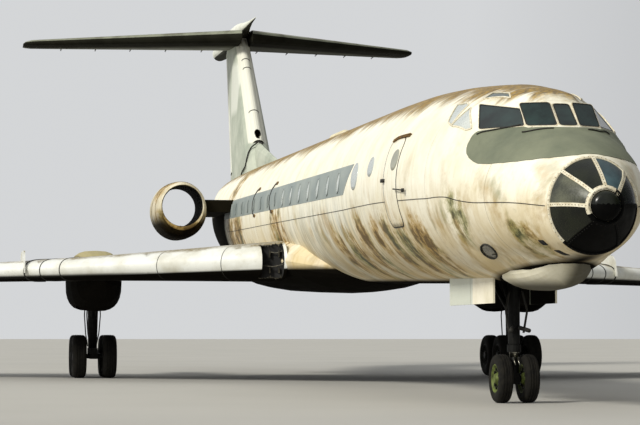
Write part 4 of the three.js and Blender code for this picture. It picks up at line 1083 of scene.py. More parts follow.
class AIRLINER_OT_nose(Operator):
    """Builds the glazed nose, its bars and rings, and the dome at its tip"""
    bl_idname = "airliner.nose"
    bl_label = "Glazed nose"

    def execute(self, context):
        stations = np.linspace(GLASS_CONE[0, 0], GLASS_CONE[-1, 0], 16)
        glass = Shape()
        for low, high, look in NOSE_SECTORS:
            angles = np.radians(np.linspace(low, high, 24))
            rings = [np.concatenate([self.cone_points(np.full(24, s), angles, 0.0),
                                     self.cone_points(np.full(24, s), angles[::-1],
                                                      -0.012)]) for s in stations]
            glass.add(*loft(rings), look=look)
        glass.done("nose_glass", NOSE_LOOKS, replaced=["nose_glazing"], slot="dark_glazing", sharp=60)
        self.dome()
        bars = Shape()
        # Bars that face away from the light are black, as painted shade
        for degrees in NOSE_BARS:
            bars.add(*self.bar(stations, math.radians(degrees)), look=int(not 40 <= degrees <= 200))
        for low, high, lit_from, lit_to in NOSE_RINGS:
            points, faces = self.ring(np.linspace(low, high, 4))
            centres = [points[list(f)].mean(axis=0) for f in faces]
            middle = points[:, 2].mean()
            turns = [math.degrees(math.atan2(c[2] - middle, c[0])) % 360 for c in centres]
            bars.add(points, faces, [int(not lit_from < turn < lit_to) for turn in turns])
        bars.done("nose_bars", ["frames", "black_enamel_and_painted_shade"], replaced=["nose_frame"], slot="cream_paint",
                  sharp=40)
        self.rivets()
        return {"FINISHED"}

    def dome(self):
        rings = oval_rings(HUB, HUB[:, 0], 64)
        points, faces = loft(rings)
        middle = (HUB[-1, 2] + HUB[-1, 3]) / 2
        # Painted shade: the dome is black below and dark glass above
        looks = [int(np.mean([points[i][2] for i in face]) > middle + 0.02) for face in faces]
        Shape().add(points, faces, looks).done("nose_dome", ["black_enamel_and_painted_shade", "nose_glass_painted_shade"], "airframe",
                                               replaced=["nose_hub"], slot="black_paint", sharp=60)

    def cone_points(self, stations, angles, proud):
        """Places on the glass cone, moved out by proud."""
        section = smooth_read(GLASS_CONE, stations)
        middle, rise = (section[:, 1] + section[:, 2]) / 2, (section[:, 1] - section[:, 2]) / 2
        x = (section[:, 0] + proud) * np.cos(angles)
        h = middle + (rise + proud) * np.sin(angles)
        return np.stack([x, stations, h], 1)

    def bar(self, stations, angle):
        section = smooth_read(GLASS_CONE, stations)[:, 0]
        rings = []
        low, high = NOSE_BAR["low"], NOSE_BAR["high"]
        for s, radius in zip(stations, section):
            offset = NOSE_BAR["half"] / radius
            corners = ((-offset, low), (offset, low), (offset, high), (-offset, high))
            rings.append(np.concatenate([self.cone_points(np.array([s]), np.array([angle + turn]), proud)
                                         for turn, proud in corners]))
        return loft(rings)

    def ring(self, stations):
        angles = all_round(96)
        low, high = NOSE_BAR["low"], NOSE_BAR["ring"]
        rings = [self.cone_points(np.full(96, s), angles, high) for s in stations]
        rings += [self.cone_points(np.full(96, s), angles, low) for s in stations[::-1]]
        return loft(rings + rings[:1], caps=(False, False))

    def rivets(self):
        shape = Shape()
        spots = [(s, math.radians(degrees)) for degrees in NOSE_BARS for s in np.linspace(0.15, 0.54, 12)]
        spots += [(s, a) for s, count in RIVET_ROWS for a in all_round(count)]
        for s, a in spots:
            place = self.cone_points(np.array([s]), np.array([a]), 0.015)[0]
            shape.add(*box(place, (0.008, 0.008, 0.006)))
        shape.done("nose_bar_rivets", "seal")


# Corners of the window band, its rise along the body, and the windows with blinds
BAND = {"front": [(8.25, 0.42), (8.87, -0.04)], "rear": [(23.9, 0.46), (23.9, 0.05)]}
BAND_RISE = 0.0037
PALE_WINDOWS = 7
# Oval panes on each side that are not in the band: station, height, half length, half height
DOOR_FORE_OVALS = ((8.02, 0.21, 0.25, 0.215), (6.83, 0.29, 0.20, 0.15))
# Landing lamp to starboard: its painted glint, its middle, and its long and short half axes
LAMP = {"glint": (2.29, -1.094), "middle": (2.310, -1.040), "long": (-0.025, -0.074),
        "short": (-0.205, 0.046)}
# Emergency exits over the wing, and the curve of their gutters as run and height
EXITS = (16.52, 18.92)
EXIT_ARC = [(-0.18, 0.53), (0.02, 0.51), (0.24, 0.43), (0.32, 0.30), (0.26, 0.13), (0.12, 0.02),
            (-0.06, -0.03)]
NOSE_VENTS = ((0.92, -0.96), (0.86, -1.08))
# Long seam low on each side of the body, as station and height
LONG_SEAM = [(0.62, -0.53), (1.5, -0.46), (2.6, -0.375), (3.6, -0.325), (5.0, -0.295), (9.0, -0.277),
             (15.5, -0.264),
             (23.4, -0.25)]


class AIRLINER_OT_cabin(Operator):
    """Builds the window band, cabin windows, doors, exits and gutters"""
    bl_idname = "airliner.cabin"
    bl_label = "Cabin windows and doors"

    def execute(self, context):
        sizes = context.scene.airliner_cabin
        band, dark, pale, rims, lines, rust = (Shape() for _ in range(6))
        for side in SIDES.values():
            self.band(band, side)
            for i in range(sizes.window_count):
                s = sizes.first_window + i * sizes.window_pitch
                height = 0.175 + BAND_RISE * (s - 8.7)
                size = 1.0 if i < PALE_WINDOWS else 0.8
                pairs = oval(s, height, size * sizes.window_width / 2, size * sizes.window_height / 2)
                outline = side_outline(pairs, side)
                (pale if i < PALE_WINDOWS else dark).add(*patch(outline, 0.008, 0.008, 0.06))
                rims.add(*skin_line(outline, 0.016, 0.010, 0.04, closed=True))
            lines.add(*skin_line(side_outline(LONG_SEAM, side), 0.009, 0.003, 0.1))
            for s, h, length, rise in DOOR_FORE_OVALS:
                outline = side_outline(oval(s, h, length, rise), side)
                pale.add(*patch(outline, 0.004, 0.008, 0.06))
            for s in EXITS:
                outline = side_outline([(s + run, h) for run, h in EXIT_ARC], side)
                lines.add(*skin_line(outline, 0.026, 0.010, 0.04))
                for run, h in (EXIT_ARC[0], EXIT_ARC[-1]):
                    spot = side_outline(oval(s + run, h, 0.16, 0.035, 12), side)
                    rust.add(*patch(spot, 0.009, 0.012, 0.03))
        band.done("window_band", "band", slot="grey_paint", sharp=50)
        dark.done("cabin_windows", "dark_slot", slot="dark_glazing")
        pale.done("cabin_windows_with_blinds", "pale_glass")
        rims.done("cabin_window_rims", "band")
        self.doors(lines, rust)
        lines.done("exit_and_door_edges", "seal")
        rust.done("rusted_fittings", "rust")
        self.small_marks()
        return {"FINISHED"}

    def band(self, shape, side):
        """Painted band that the cabin windows stand in."""
        front, rear = (spread(BAND[end], 12) for end in ("front", "rear"))
        rows = []
        for t in np.linspace(0, 1, 260):
            rows.append([(s, angle_at(s, h, side)) for s, h in front + (rear - front) * t])
        shape.add(*strip(rows, 0.0035, 0.008))

    def doors(self, lines, rust):
        for name, (side, front, rear, foot, top, pane_station) in DOORS.items():
            panel, gap = (side_outline(rounded(front + m, rear - m, foot + m, top - m, DOOR_CORNER), side)
                          for m in (0.006, -0.004))
            Shape().add(*patch(panel, 0.006, 0.03, 0.06)).done(
                name + "_panel", "skin", replaced=[name], slot="cream_paint")
            lines.add(*skin_line(gap, 0.016, 0.004, 0.04, closed=True))
            pane = side_outline(oval(pane_station, *DOOR_PANE), side)
            Shape().add(*patch(pane, 0.010, 0.008, 0.05)).done(name + "_window", "blind")
            for run, rise in ((0.0, 0.025), (0.03, 0.003)):
                gutter = [(rear - 0.10, top + rise - 0.03), (rear - 0.33, top + rise),
                          (front - 0.17 + run, top + rise)]
                rust.add(*skin_line(side_outline(gutter, side), 0.016, 0.02))
            lines.add(*skin_line(side_outline([(rear + 0.03, 0.02), (rear - 0.10, 0.02)], side), 0.05, 0.03))
            handle, _ = on_skin(side_outline([(front + 0.02, -0.13), (front - 0.50, -0.17)], side), 0.04)
            lines.add(*tube(handle, 0.010, 8))
            lines.add(*box(handle[-1], (0.03, 0.07, 0.05)))

    def small_marks(self):
        """Landing lamp with a painted glint, and nose vents on the starboard side."""
        ports, holes, rims = Shape(), Shape(), Shape()
        middle, long, short = (np.array(LAMP[key]) for key in ("middle", "long", "short"))
        lamp = side_outline([middle + long * math.cos(a) + short * math.sin(a)
                             for a in all_round(28)], -1)
        ports.add(*patch(lamp, 0.006, 0.01, 0.04))
        rims.add(*skin_line(lamp, 0.012, 0.014, 0.03, closed=True))
        # Painted glint: a small chrome spot standing proud in the lamp
        glint = side_outline(oval(LAMP["glint"][0], LAMP["glint"][1], 0.06, 0.016, 12), -1)
        glints = Shape().add(*patch(glint, 0.018, 0.008, 0.03))
        glints.done("landing_lamp_glint", "chrome")
        for s, h in NOSE_VENTS:
            spot = side_outline(rounded(s - 0.05, s + 0.05, h - 0.03, h + 0.03, 0.01, 2), -1)
            holes.add(*patch(spot, 0.003, 0.01, 0.03))
        ports.done("landing_lamp_port", "lamp")
        rims.done("landing_lamp_rim", "seal")
        holes.done("nose_vents", "inside")


BLUNT = {"share": 0.3, "power": 7}
WING_SHARES = np.concatenate([[0, 0.0006, 0.002, 0.004, 0.007, 0.011, 0.017, 0.025, 0.035, 0.05, 0.07, 0.1,
                               0.14, 0.2],
                              np.linspace(0.28, 1.0, 10)])
SPAN_STEP = 0.2


def foil_half(share, thickness):
    """Half thickness of the wing's section, as a share of its chord."""
    slim = 5 * thickness * (0.2969 * np.sqrt(share) - 0.126 * share - 0.3516 * share**2
                            + 0.2843 * share**3 - 0.1036 * share**4)
    nose = np.clip(share / BLUNT["share"], 0, 1)
    blunt = thickness / 2 * np.sqrt(1 - (1 - nose) ** BLUNT["power"])
    return np.where(share > BLUNT["share"], slim, np.maximum(slim, blunt))


def wing_section(span):
    """Leading station, chord, height and thickness share of the wing at a span."""
    chord, thickness, back = (np.interp(span, WING[:, 0], WING[:, k]) for k in (1, 2, 3))
    out = span - WING_ROOT["span"]
    leading, height = WING_ROOT["leading"] + out * WING_SWEEP + back, WING_ROOT["height"] - out * WING_DROP
    return leading, chord, height, thickness


def wing_ring(span, side, first=0.0, last=1.0):
    """Closed ring round the wing's section between two shares of its chord."""
    leading, chord, height, thickness = wing_section(span)
    share = np.clip(WING_SHARES, first, last)
    half = foil_half(share, thickness) * chord + 0.004 * share
    upper = np.stack([np.full_like(share, side * span), leading + share * chord, height + half], 1)
    lower = np.stack([np.full_like(share, side * span), leading + share * chord, height - half], 1)
    return np.concatenate([upper[::-1], lower[1:]])


class AIRLINER_OT_wings(Operator):
    """Builds the wings with round leading edges, fences, seams and the torn starboard root"""
    bl_idname = "airliner.wings"
    bl_label = "Wings"

    def execute(self, context):
        for label, side in SIDES.items():
            shape = Shape()
            rings, torn = [], []
            for span, first, last in self.sections(side):
                rings.append(wing_ring(span, side, first, last))
                torn.append(first > 0)
            points, faces = loft(rings)
            count = len(rings[0])
            looks = [self.look(face, points, count, torn) for face in faces]
            shape.add(points, faces, looks)
            for span in FENCES:
                shape.add(*self.fence(span, side))
            shape.done(f"wing_skin_{label}", ["wing", "inside"], replaced=[f"wing_{label}"],
                       slot="cream_paint", sharp=32)
            self.seams(label, side)
        self.torn_root()
        return {"FINISHED"}

    def sections(self, side):
        """Spans in order, each with the shares of the chord where the skin starts and ends."""
        edges = [1.40, 14.5] + [s for a, b, _ in WING_CUTS for s in (a, b)] + list(WING[1:, 0])
        if side < 0:
            edges += [TORN["inner"], TORN["outer"]]
        spans = sorted(set(edges) | set(np.arange(1.6, 14.3, SPAN_STEP).round(3)))
        out = []
        for span in spans:
            for nudge in (-1e-6, 1e-6):
                state = self.state(span + nudge, side)
                if not out or out[-1] != (span, *state):
                    out.append((span, *state))
        return out[1:-1]

    def state(self, span, side):
        """Shares of the chord where the skin starts and ends at a span."""
        last = 1.0
        for low, high, kept in WING_CUTS:
            if low < span < high:
                last = kept
        first = 0.0
        if side < 0 and TORN["inner"] < span < TORN["outer"]:
            first = TORN["depth"] / wing_section(span)[1]
        return first, last

    def look(self, face, points, count, torn):
        """Torn faces get painted shade: those of the cut front, and the walls beside it."""
        if len(face) > 4:
            return 0
        rows = {i // count for i in face}
        if not all(torn[r] for r in rows) and not (any(torn[r] for r in rows) and np.ptp(points[list(face),
                                                                                                0]) < 1e-4):
            return 0
        places = points[list(face)]
        away = [p[1] - wing_section(abs(p[0]))[0] for p in places]
        return int(max(away) < TORN["depth"] + 0.01)

    def fence(self, span, side):
        """Thin upright plate along the top of the wing, open underneath where it is sunk in the skin."""
        leading, chord, height, thickness = wing_section(span)
        share = np.linspace(0, 0.62, 24)
        half = foil_half(share, thickness) * chord
        rise = 0.21 * np.minimum(1, np.sqrt(share / 0.05 + 0.02))
        top = np.stack([leading - 0.09 + share * chord, height + half + rise], 1)
        low = np.stack([leading - 0.09 + share * chord, height - 0.04 + 0 * half], 1)
        outline = np.concatenate([top, low[::-1]])
        rings = [np.column_stack([np.full(len(outline), side * span + offset),
                                  outline]) for offset in (-0.015, 0.015)]
        points, faces = loft(rings, caps=(False, False))
        count, half_count = len(outline), len(top)
        for r in (0, 1):
            for k in range(half_count - 1):
                a, b = r * count + k, r * count + k + 1
                c, d = r * count + count - 2 - k, r * count + count - 1 - k
                faces.append((a, b, c, d))
        return points, faces

    def seams(self, label, side):
        """Strips round the leading edge and back over both faces, square to the leading edge."""
        shape = Shape()
        for span, width in WING_SEAMS:
            middle = len(WING_SHARES) - 1
            path = wing_ring(span, side, 0.0, 0.69)[middle - 18:middle + 14]
            leading, chord, height, _ = wing_section(span)
            behind = path[:, 1] - leading
            inward = behind * WING_SWEEP / (1 + WING_SWEEP ** 2)
            path[:, 0] -= side * inward
            path[:, 1] -= inward * WING_SWEEP
            path[:, 2] += inward * WING_DROP
            centre = np.array([side * span, leading + 0.1 * chord, height])
            normals = path - centre
            normals[:, 1] *= 0.5
            normals /= np.linalg.norm(normals, axis=1)[:, None]
            shape.add(*ribbon(path, normals, width, 0.004))
        shape.done(f"wing_seams_{label}", "seal")

    def torn_root(self):
        """Ragged skin, broken ribs and hanging strips where the leading edge is missing."""
        skin, ribs = Shape(), Shape()
        rng = np.random.default_rng(7)
        for top in (1, -1):
            for span in np.arange(1.50, 1.90, 0.045):
                lead, c, h, t = wing_section(span)
                reach, curl = rng.uniform(0.02, 0.17), rng.uniform(-0.05, 0.05)
                half = foil_half(TORN["depth"] / c, t) * c
                s1 = lead + TORN["depth"]
                corners = np.array([[-span, s1, h + top * half], [-span - 0.05, s1, h + top * half],
                                    [-span - 0.03, s1 - reach, h + top * (half - 0.02) + curl]])
                lower = corners - [0, 0, top * 0.006]
                skin.add(np.concatenate([corners, lower]),
                         [(0, 1, 2), (5, 4, 3), (0, 3, 4, 1), (1, 4, 5, 2), (2, 5, 3, 0)])
        for span in (1.56, 1.72):
            lead, c, h, t = wing_section(span)
            rise = foil_half(0.06, t) * c
            ribs.add(*box((-span, lead + 0.26, h + 0.42 * rise), (0.010, 0.10, 0.4 * rise)))
            ribs.add(*box((-span, lead + 0.25, h - 0.50 * rise), (0.010, 0.12, 0.3 * rise)))
        for a, b in TORN_STRIPS:
            middle = (np.array(a) + b) / 2 + [0.0, -0.02, -0.03]
            ribs.add(*tube([a, middle, b], 0.010, 6))
        skin.done("torn_wing_skin", "torn", smooth=False)
        ribs.done("broken_wing_ribs", "torn", smooth=False)


class AIRLINER_OT_intakes(Operator):
    """Builds the empty intake rings with rounded lips"""
    bl_idname = "airliner.intakes"
    bl_label = "Intake rings"

    def execute(self, context):
        count = 72
        angle = all_round(count)
        stations = np.concatenate([[22.56, 22.565, 22.58, 22.60], np.linspace(22.64, 24.10, 14)])
        for label, side in SIDES.items():
            centre = side * RING_SPAN
            outer = oval_rings(INTAKE, stations, count, centre=centre)
            radii = [(s, BORE["radius"] + grow) for s, grow in BORE_ROWS]
            rings = [np.stack([centre + r * np.cos(angle), np.full(count, s),
                               BORE["height"] + r * np.sin(angle)], 1)
                     for s, r in radii] + outer
            points, faces = loft(rings + rings[:1], caps=(False, False))
            looks = [int(i // count < 4) for i, *_ in faces]
            shape = Shape().add(points, faces, looks)
            shape.done(f"intake_ring_skin_{label}", ["ring", "throat"], replaced=[f"intake_ring_{label}"],
                       slot="grey_paint", sharp=50)
            self.fittings(label, centre)
        return {"FINISHED"}

    def fittings(self, label, centre):
        """Two seams round the ring, and the brackets inside its bore."""
        shape = Shape()
        for s in (22.95, 23.65):
            ring = oval_rings(INTAKE, [s], 96, grow=0.001, centre=centre)[0]
            middle = np.array([centre, s, 0.22])
            normals = (ring - middle) / np.linalg.norm(ring - middle, axis=1)[:, None]
            shape.add(*ribbon(ring, normals, 0.012, 0.003, closed=True))
        for a in all_round(24):
            place = (centre + 0.45 * math.cos(a), 23.0, BORE["height"] + 0.45 * math.sin(a))
            shape.add(*box(place, (0.02, 0.05, 0.02)))
        shape.done(f"intake_ring_fittings_{label}", "seal")


# Leading line of the fin, as height and station, and the tube along it
FIN_LINE = {"foot": (1.15, 27.15), "top": (5.40, 31.547)}
FIN_TUBE = {"foot": 2.18, "top": 5.33, "foot_radius": 0.150, "top_radius": 0.105, "back": 0.095}
TUBE_SEAMS = (3.05, 4.35, 4.62)
# Loose cable on the fin's foot, as span, station, height
CABLE = [(0.03, 27.72, 2.15), (-0.04, 27.98, 2.22), (-0.20, 28.15, 2.10), (-0.275, 28.17, 1.96),
         (-0.32, 28.13, 1.82),
         (-0.37, 28.10, 1.58), (-0.395, 28.54, 1.46), (-0.41, 28.58, 1.38)]
CABLE_RADIUS = 0.018
WICK = {"length": 0.20, "radius": 0.014}
TAIL_TRAILING = ((0.15, 33.94, 5.300), (5.65, 37.34, 5.614))


class AIRLINER_OT_tail(Operator):
    """Builds the seams of the fin's tube, the loose cable on its foot and the static wicks"""
    bl_idname = "airliner.tail"
    bl_label = "Tail details"

    def execute(self, context):
        bands, wicks = Shape(), Shape()
        inner, outer = np.array(TAIL_TRAILING)
        for height in TUBE_SEAMS:
            bands.add(*self.collar(height))
        bands.add(*tube(spread(CABLE, 24), CABLE_RADIUS, 6))
        for side in SIDES.values():
            for share in (0.12, 0.30, 0.48, 0.66, 0.84):
                x, s, h = inner + (outer - inner) * share
                start_at = np.array([side * x, s - 0.05, h])
                wicks.add(*tube([start_at, start_at + [0, WICK["length"], -0.035]], WICK["radius"], 6))
                wicks.add(*box(start_at - [0, 0.02, 0.015], (0.03, 0.08, 0.03)))
        bands.done("fin_tube_seams", "seal")
        wicks.done("static_wicks", "seal")
        return {"FINISHED"}

    def tube_at(self, height):
        """Place on the middle of the fin's leading tube, and its radius."""
        (h0, s0), (h1, s1) = FIN_LINE["foot"], FIN_LINE["top"]
        station = s0 + (s1 - s0) * (height - h0) / (h1 - h0) + FIN_TUBE["back"]
        share = (height - FIN_TUBE["foot"]) / (FIN_TUBE["top"] - FIN_TUBE["foot"])
        radius = FIN_TUBE["foot_radius"] + (FIN_TUBE["top_radius"] - FIN_TUBE["foot_radius"]) * share
        return np.array([0.0, station, height]), radius

    def collar(self, height):
        low, radius = self.tube_at(height - 0.012)
        high, _ = self.tube_at(height + 0.012)
        return tube([low, high], radius + 0.003, 40)



WHEELS = {"main": {"radius": 0.462, "width": 0.300, "rim": 0.250, "spacing": 0.640},
          "nose": {"radius": 0.330, "width": 0.200, "rim": 0.190, "spacing": 0.370}}
WHEEL_NUT = [(0, -0.03), (0.020, -0.03), (0.020, 0.012), (0.012, 0.016), (0, 0.016)]
# Pipes of the main legs: offset in span and reach in station
LEG_PIPES = ((-0.15, 0.10), (-0.12, -0.12), (0.15, 0.08))
# Their points: share of the offset, share of the reach, height over the ground
PIPE_POINTS = ((1.0, 1.0, 1.75), (1.15, 1.3, 1.35), (0.95, 1.6, 0.95), (0.6, 3.0, 0.68))
MAIN_GEAR = {"station": 20.93, "span": 4.70, "spread": 1.08}
NOSE_GEAR = 4.056
# Pipe, brace and lug on each side of the nose leg: span, run from the leg, height over the ground
NOSE_LINKS = (((0.09, -0.10, 1.52), (0.15, -0.13, 1.25), (0.10, -0.12, 0.95)),
              ((0.05, -0.10, 1.02), (0.13, -0.30, 0.98)), ((0.03, -0.075, 0.62), (0.03, -0.165, 0.52)))


def wheel_profiles(wheel):
    """Tyre outline, wheel outline and hub outline, as (radius, run) pairs."""
    r, w, rim = wheel["radius"], wheel["width"] / 2, wheel["rim"]
    side = r - rim
    outer = [(rim - 0.004, 0.80 * w), (rim + 0.10 * side, 0.93 * w), (rim + 0.35 * side, w),
             (rim + 0.62 * side, 0.985 * w),
             (rim + 0.82 * side, 0.88 * w), (r - 0.035 * r, 0.74 * w), (r - 0.010 * r, 0.55 * w),
             (r - 0.003, 0.42 * w)]
    groove = [(r - 0.003, 0.40 * w), (r - 0.014, 0.38 * w), (r - 0.014, 0.32 * w), (r - 0.001, 0.30 * w),
              (r, 0.12 * w), (r - 0.012, 0.10 * w), (r - 0.012, 0.04 * w), (r, 0.02 * w)]
    half = outer + groove
    tyre = half + [(a, -b) for a, b in reversed(half)]
    dish = [(rim, 0.80 * w), (rim + 0.012, 0.86 * w), (rim - 0.004, 0.88 * w), (0.90 * rim, 0.70 * w),
            (0.80 * rim, 0.42 * w),
            (0.50 * rim, 0.34 * w), (0.42 * rim, 0.62 * w), (0.30 * rim, 0.95 * w), (0.0, 0.97 * w)]
    return tyre, dish + [(a, -b) for a, b in reversed(dish)]


class AIRLINER_OT_gear(Operator):
    """Builds tyres, wheels and hubs, and the pipes and links of the legs"""
    bl_idname = "airliner.gear"
    bl_label = "Wheels and legs"

    def execute(self, context):
        for label, side in SIDES.items():
            for place, end in (("front", -1), ("rear", 1)):
                station = MAIN_GEAR["station"] + end * MAIN_GEAR["spread"] / 2
                self.pair(f"main_wheels_{place}_{label}", f"main_{place}_{label}", WHEELS["main"],
                          side * MAIN_GEAR["span"], station)
            self.main_pipes(label, side)
        self.pair("nose_wheels", "nose_wheels", WHEELS["nose"], 0.0, NOSE_GEAR)
        self.nose_links()
        return {"FINISHED"}

    def pair(self, node, body, wheel, span, station):
        """Twin wheels with their nuts and axle."""
        shape = Shape()
        tyre, rim = wheel_profiles(wheel)
        for end in (-1, 1):
            centre = (span + end * wheel["spacing"] / 2, station, wheel["radius"])
            shape.add(*lathe(tyre, centre, segments=72), look=0)
            shape.add(*lathe(rim, centre, segments=48, closed=False), look=1)
            for a in all_round(9):
                r, run = 0.66 * wheel["rim"], 0.42 * wheel["width"] / 2
                for face in (-1, 1):
                    place = (centre[0] + face * run, centre[1] + r * math.cos(a), centre[2] + r * math.sin(a))
                    shape.add(*lathe(WHEEL_NUT, place, segments=8, closed=False), look=2)
        reach = 0.5 * wheel["spacing"]
        axle = [(0, -reach), (0.045, -reach), (0.045, reach), (0, reach)]
        shape.add(*lathe(axle, (span, station, wheel["radius"]), segments=24, closed=False), look=2)
        rim_look = "rim_green" if wheel is WHEELS["nose"] else "rim"
        shape.done(node + "_finished", ["tyre", rim_look, "leg"], body, place=from_ground, replaced=[node],
                   slot="tyre_rubber", sharp=35)

    def main_pipes(self, label, side):
        shape = Shape()
        span, station = side * MAIN_GEAR["span"], MAIN_GEAR["station"]
        for offset, reach in LEG_PIPES:
            path = [(span + offset * a, station + reach * b, height) for a, b, height in PIPE_POINTS]
            shape.add(*tube(spread(path, 20), 0.014, 6))
        shape.done(f"main_leg_pipes_{label}", "seal", place=from_ground)

    def nose_links(self):
        """Pipes and braces of the nose leg, and the bright sleeve that steers with its fork."""
        links, pale = Shape(), Shape()
        for side in SIDES.values():
            pipe, brace, lug = ([(side * x, NOSE_GEAR + run, h) for x, run, h in path] for path in NOSE_LINKS)
            links.add(*tube(spread(pipe, 14), 0.016, 6))
            links.add(*tube(brace, 0.03, 8))
            pale.add(*tube(lug, 0.012, 8))
        links.done("nose_leg_pipes", "seal", place=from_ground)
        pale.add(*tube([(0, NOSE_GEAR, 0.62), (0, NOSE_GEAR, 0.785)], 0.0655, 32))
        pale.done("nose_piston_sleeve", "chrome", "nose_steering", place=from_ground)


def dress(nodes, look, sharp=35):
    """Gives CAD nodes a finish and smooth faces with sharp edges."""
    for name in nodes:
        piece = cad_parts[name]
        piece.data.materials.clear()
        piece.data.materials.append(MATERIALS[look])
        piece.data.polygons.foreach_set("use_smooth", [True] * len(piece.data.polygons))
        piece.data.set_sharp_from_angle(angle=math.radians(sharp))


def both(*names):
    return [f"{name}_{side}" for name in names for side in SIDES]


class AIRLINER_OT_finishes(Operator):
    """Gives the frame's own pieces their finishes"""
    bl_idname = "airliner.finishes"
    bl_label = "Finishes on the frame"

    def execute(self, context):
        dress(both("aileron", "flap_inner", "flap_outer"), "wing")
        dress(both("gear_pod", "pylon"), "grime_and_painted_shade")
        dress(both("tailplane", "elevator"), "tail")
        dress(["fin"], "fin")
        dress(["rudder", "bullet_fairing"], "tail_white")
        dress(["belly_fairing"], "belly")
        dress(["roof_aerial_fairing"], "fairing")
        dress(["chin_radome"], "radome")
        dress(both("nose_gear_doors"), "door")
        dress(both("main_leg", "bogie_beam") + ["nose_leg", "nose_steering_fork"], "leg")
        return {"FINISHED"}


FLOOR_REACH = 400.0
KEY_COLOUR = (1.0, 0.97, 0.90)


class AIRLINER_OT_stage(Operator):
    """Builds the floor, the soft light and the camera at the photograph's angle"""
    bl_idname = "airliner.stage"
    bl_label = "Stage and camera"

    def execute(self, context):
        stage = context.scene.airliner_stage
        corners = [(x * FLOOR_REACH, y * FLOOR_REACH, 0) for x, y in ((-1, -1), (1, -1), (1, 1), (-1, 1))]
        floor = placed("studio_floor", new_mesh("studio_floor", corners, [(0, 1, 2, 3)],
                                                [self.floor_finish()]))
        sun = bpy.data.lights.new("soft_key", "SUN")
        sun.energy, sun.angle, sun.color = stage.key_strength, math.radians(stage.key_softness), KEY_COLOUR
        key = placed("soft_key", sun)
        key.rotation_mode = "QUATERNION"
        key.rotation_quaternion = Vector(stage.key_direction).normalized().to_track_quat("Z", "Y")
        context.scene.world = self.world(stage)
        data = bpy.data.cameras.new("photograph_angle")
        data.sensor_width, data.lens = 36.0, stage.lens
        data.clip_end = 2000.0
        camera = placed("photograph_angle", data)
        camera.location = stage.camera_place
        camera.rotation_euler = stage.camera_turn
        context.scene.camera = camera
        context.scene.view_settings.view_transform = "Standard"
        return {"FINISHED"}

    def floor_finish(self):
        """Matt pale floor, with tones a few metres wide that keep it from looking flat."""
        material, tree, shader = start("matt_studio_floor")
        coords = add(tree, PLACE, output="Object")
        tone = add(tree, RANGE, (add(tree, NOISE, {"Vector": coords, "Scale": 0.2, "Detail": 2.0}), 0.3, 0.7))
        colour = add(tree, MIX, {0: tone, 6: linear("a9a7a0"), 7: linear("afada6")}, 2)
        settle(tree, shader, {"Base Color": colour, "Roughness": 0.9})
        return material

    def world(self, stage):
        """Light from all round, with less of it on the port side."""
        world = bpy.data.worlds.new("studio_light")
        world.use_nodes = True
        tree = world.node_tree
        across = add(tree, SPLIT, (add(tree, PLACE, output="Generated"),))
        share = add(tree, RANGE, (across, 0.85, 0.25))
        colour = add(tree, MIX, {0: share, 6: linear("3c3f43"), 7: linear("f2f4f6")}, 2)
        settle(tree, tree.nodes["Background"], {"Color": colour, "Strength": stage.fill_strength})
        return world


# Settings, panel and registration

class AirlinerColours(PropertyGroup):
    body: StringProperty(name="Body colour", description="Body paint where it is clean, as sRGB hex",
                         default="eeead8")


class AirlinerCabin(PropertyGroup):
    first_window: FloatProperty(
        name="First window", description="Station of the first window in the band", default=9.35,
        unit="LENGTH")
    window_pitch: FloatProperty(
        name="Window pitch", description="Run from one cabin window to the next", default=0.96, unit="LENGTH")
    window_width: FloatProperty(
        name="Window width", description="Width of a cabin window", default=0.24, unit="LENGTH")
    window_height: FloatProperty(
        name="Window height", description="Height of a cabin window", default=0.34, unit="LENGTH")
    window_count: IntProperty(
        name="Windows", description="Number of windows on each side of the band", default=15)


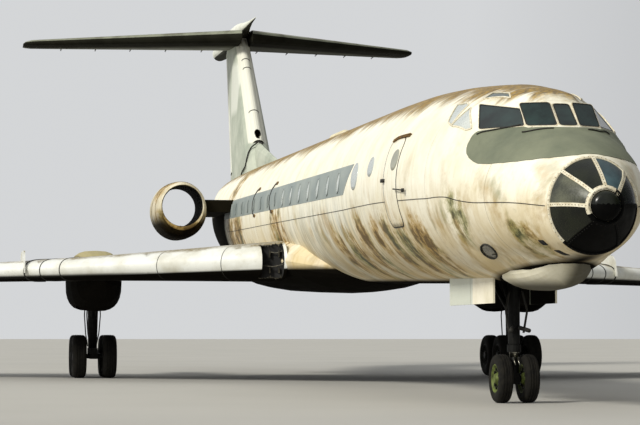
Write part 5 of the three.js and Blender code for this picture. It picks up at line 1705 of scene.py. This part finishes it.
class AirlinerStage(PropertyGroup):
    key_strength: FloatProperty(name="Key light", description="Strength of the soft key light", default=3.1)
    key_softness: FloatProperty(
        name="Key size", description="Width of the key light as seen from the object, in degrees",
        default=14.0)
    key_direction: FloatVectorProperty(
        name="Key direction", description="Direction toward the key light", default=(-0.70, -0.40, 0.59),
        subtype="DIRECTION")
    fill_strength: FloatProperty(name="Fill light", description="Strength of the light from all round",
                                 default=0.74)
    lens: FloatProperty(name="Lens", description="Focal length in millimetres on a 36 mm sensor",
                        default=108.70)
    camera_place: FloatVectorProperty(
        name="Camera place", description="Where the camera stands", default=(-7.235, -40.0391, 0.920),
        subtype="TRANSLATION")
    camera_turn: FloatVectorProperty(
        name="Camera turn", description="Turn of the camera about the three axes",
        default=(math.radians(93.629), math.radians(-0.015), math.radians(-10.123)), subtype="EULER")


OPERATORS = (AIRLINER_OT_fuselage, AIRLINER_OT_cockpit, AIRLINER_OT_nose, AIRLINER_OT_cabin,
             AIRLINER_OT_wings,
             AIRLINER_OT_intakes, AIRLINER_OT_tail, AIRLINER_OT_gear, AIRLINER_OT_finishes, AIRLINER_OT_stage)


class AIRLINER_PT_panel(Panel):
    """Buttons for each group of pieces"""
    bl_idname = "AIRLINER_PT_panel"
    bl_label = "Airliner"
    bl_space_type = "VIEW_3D"
    bl_region_type = "UI"
    bl_category = "Airliner"

    def draw(self, context):
        for group in ("airliner_colours", "airliner_cabin", "airliner_stage"):
            settings = getattr(context.scene, group)
            for key in settings.__annotations__:
                self.layout.prop(settings, key)
        for operator in OPERATORS:
            self.layout.operator(operator.bl_idname)


CLASSES = (AirlinerColours, AirlinerCabin, AirlinerStage, *OPERATORS, AIRLINER_PT_panel)


def register():
    for kind in CLASSES:
        bpy.utils.register_class(kind)
    bpy.types.Scene.airliner_colours = PointerProperty(type=AirlinerColours)
    bpy.types.Scene.airliner_cabin = PointerProperty(type=AirlinerCabin)
    bpy.types.Scene.airliner_stage = PointerProperty(type=AirlinerStage)


def unregister():
    for group in ("airliner_colours", "airliner_cabin", "airliner_stage"):
        delattr(bpy.types.Scene, group)
    for kind in reversed(CLASSES):
        bpy.utils.unregister_class(kind)


def main():
    """Registers the add-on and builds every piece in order."""
    register()
    make_materials(bpy.context.scene.airliner_colours)
    for operator in OPERATORS:
        group, name = operator.bl_idname.split(".")
        getattr(getattr(bpy.ops, group), name)()


if __name__ == "__main__":
    main()
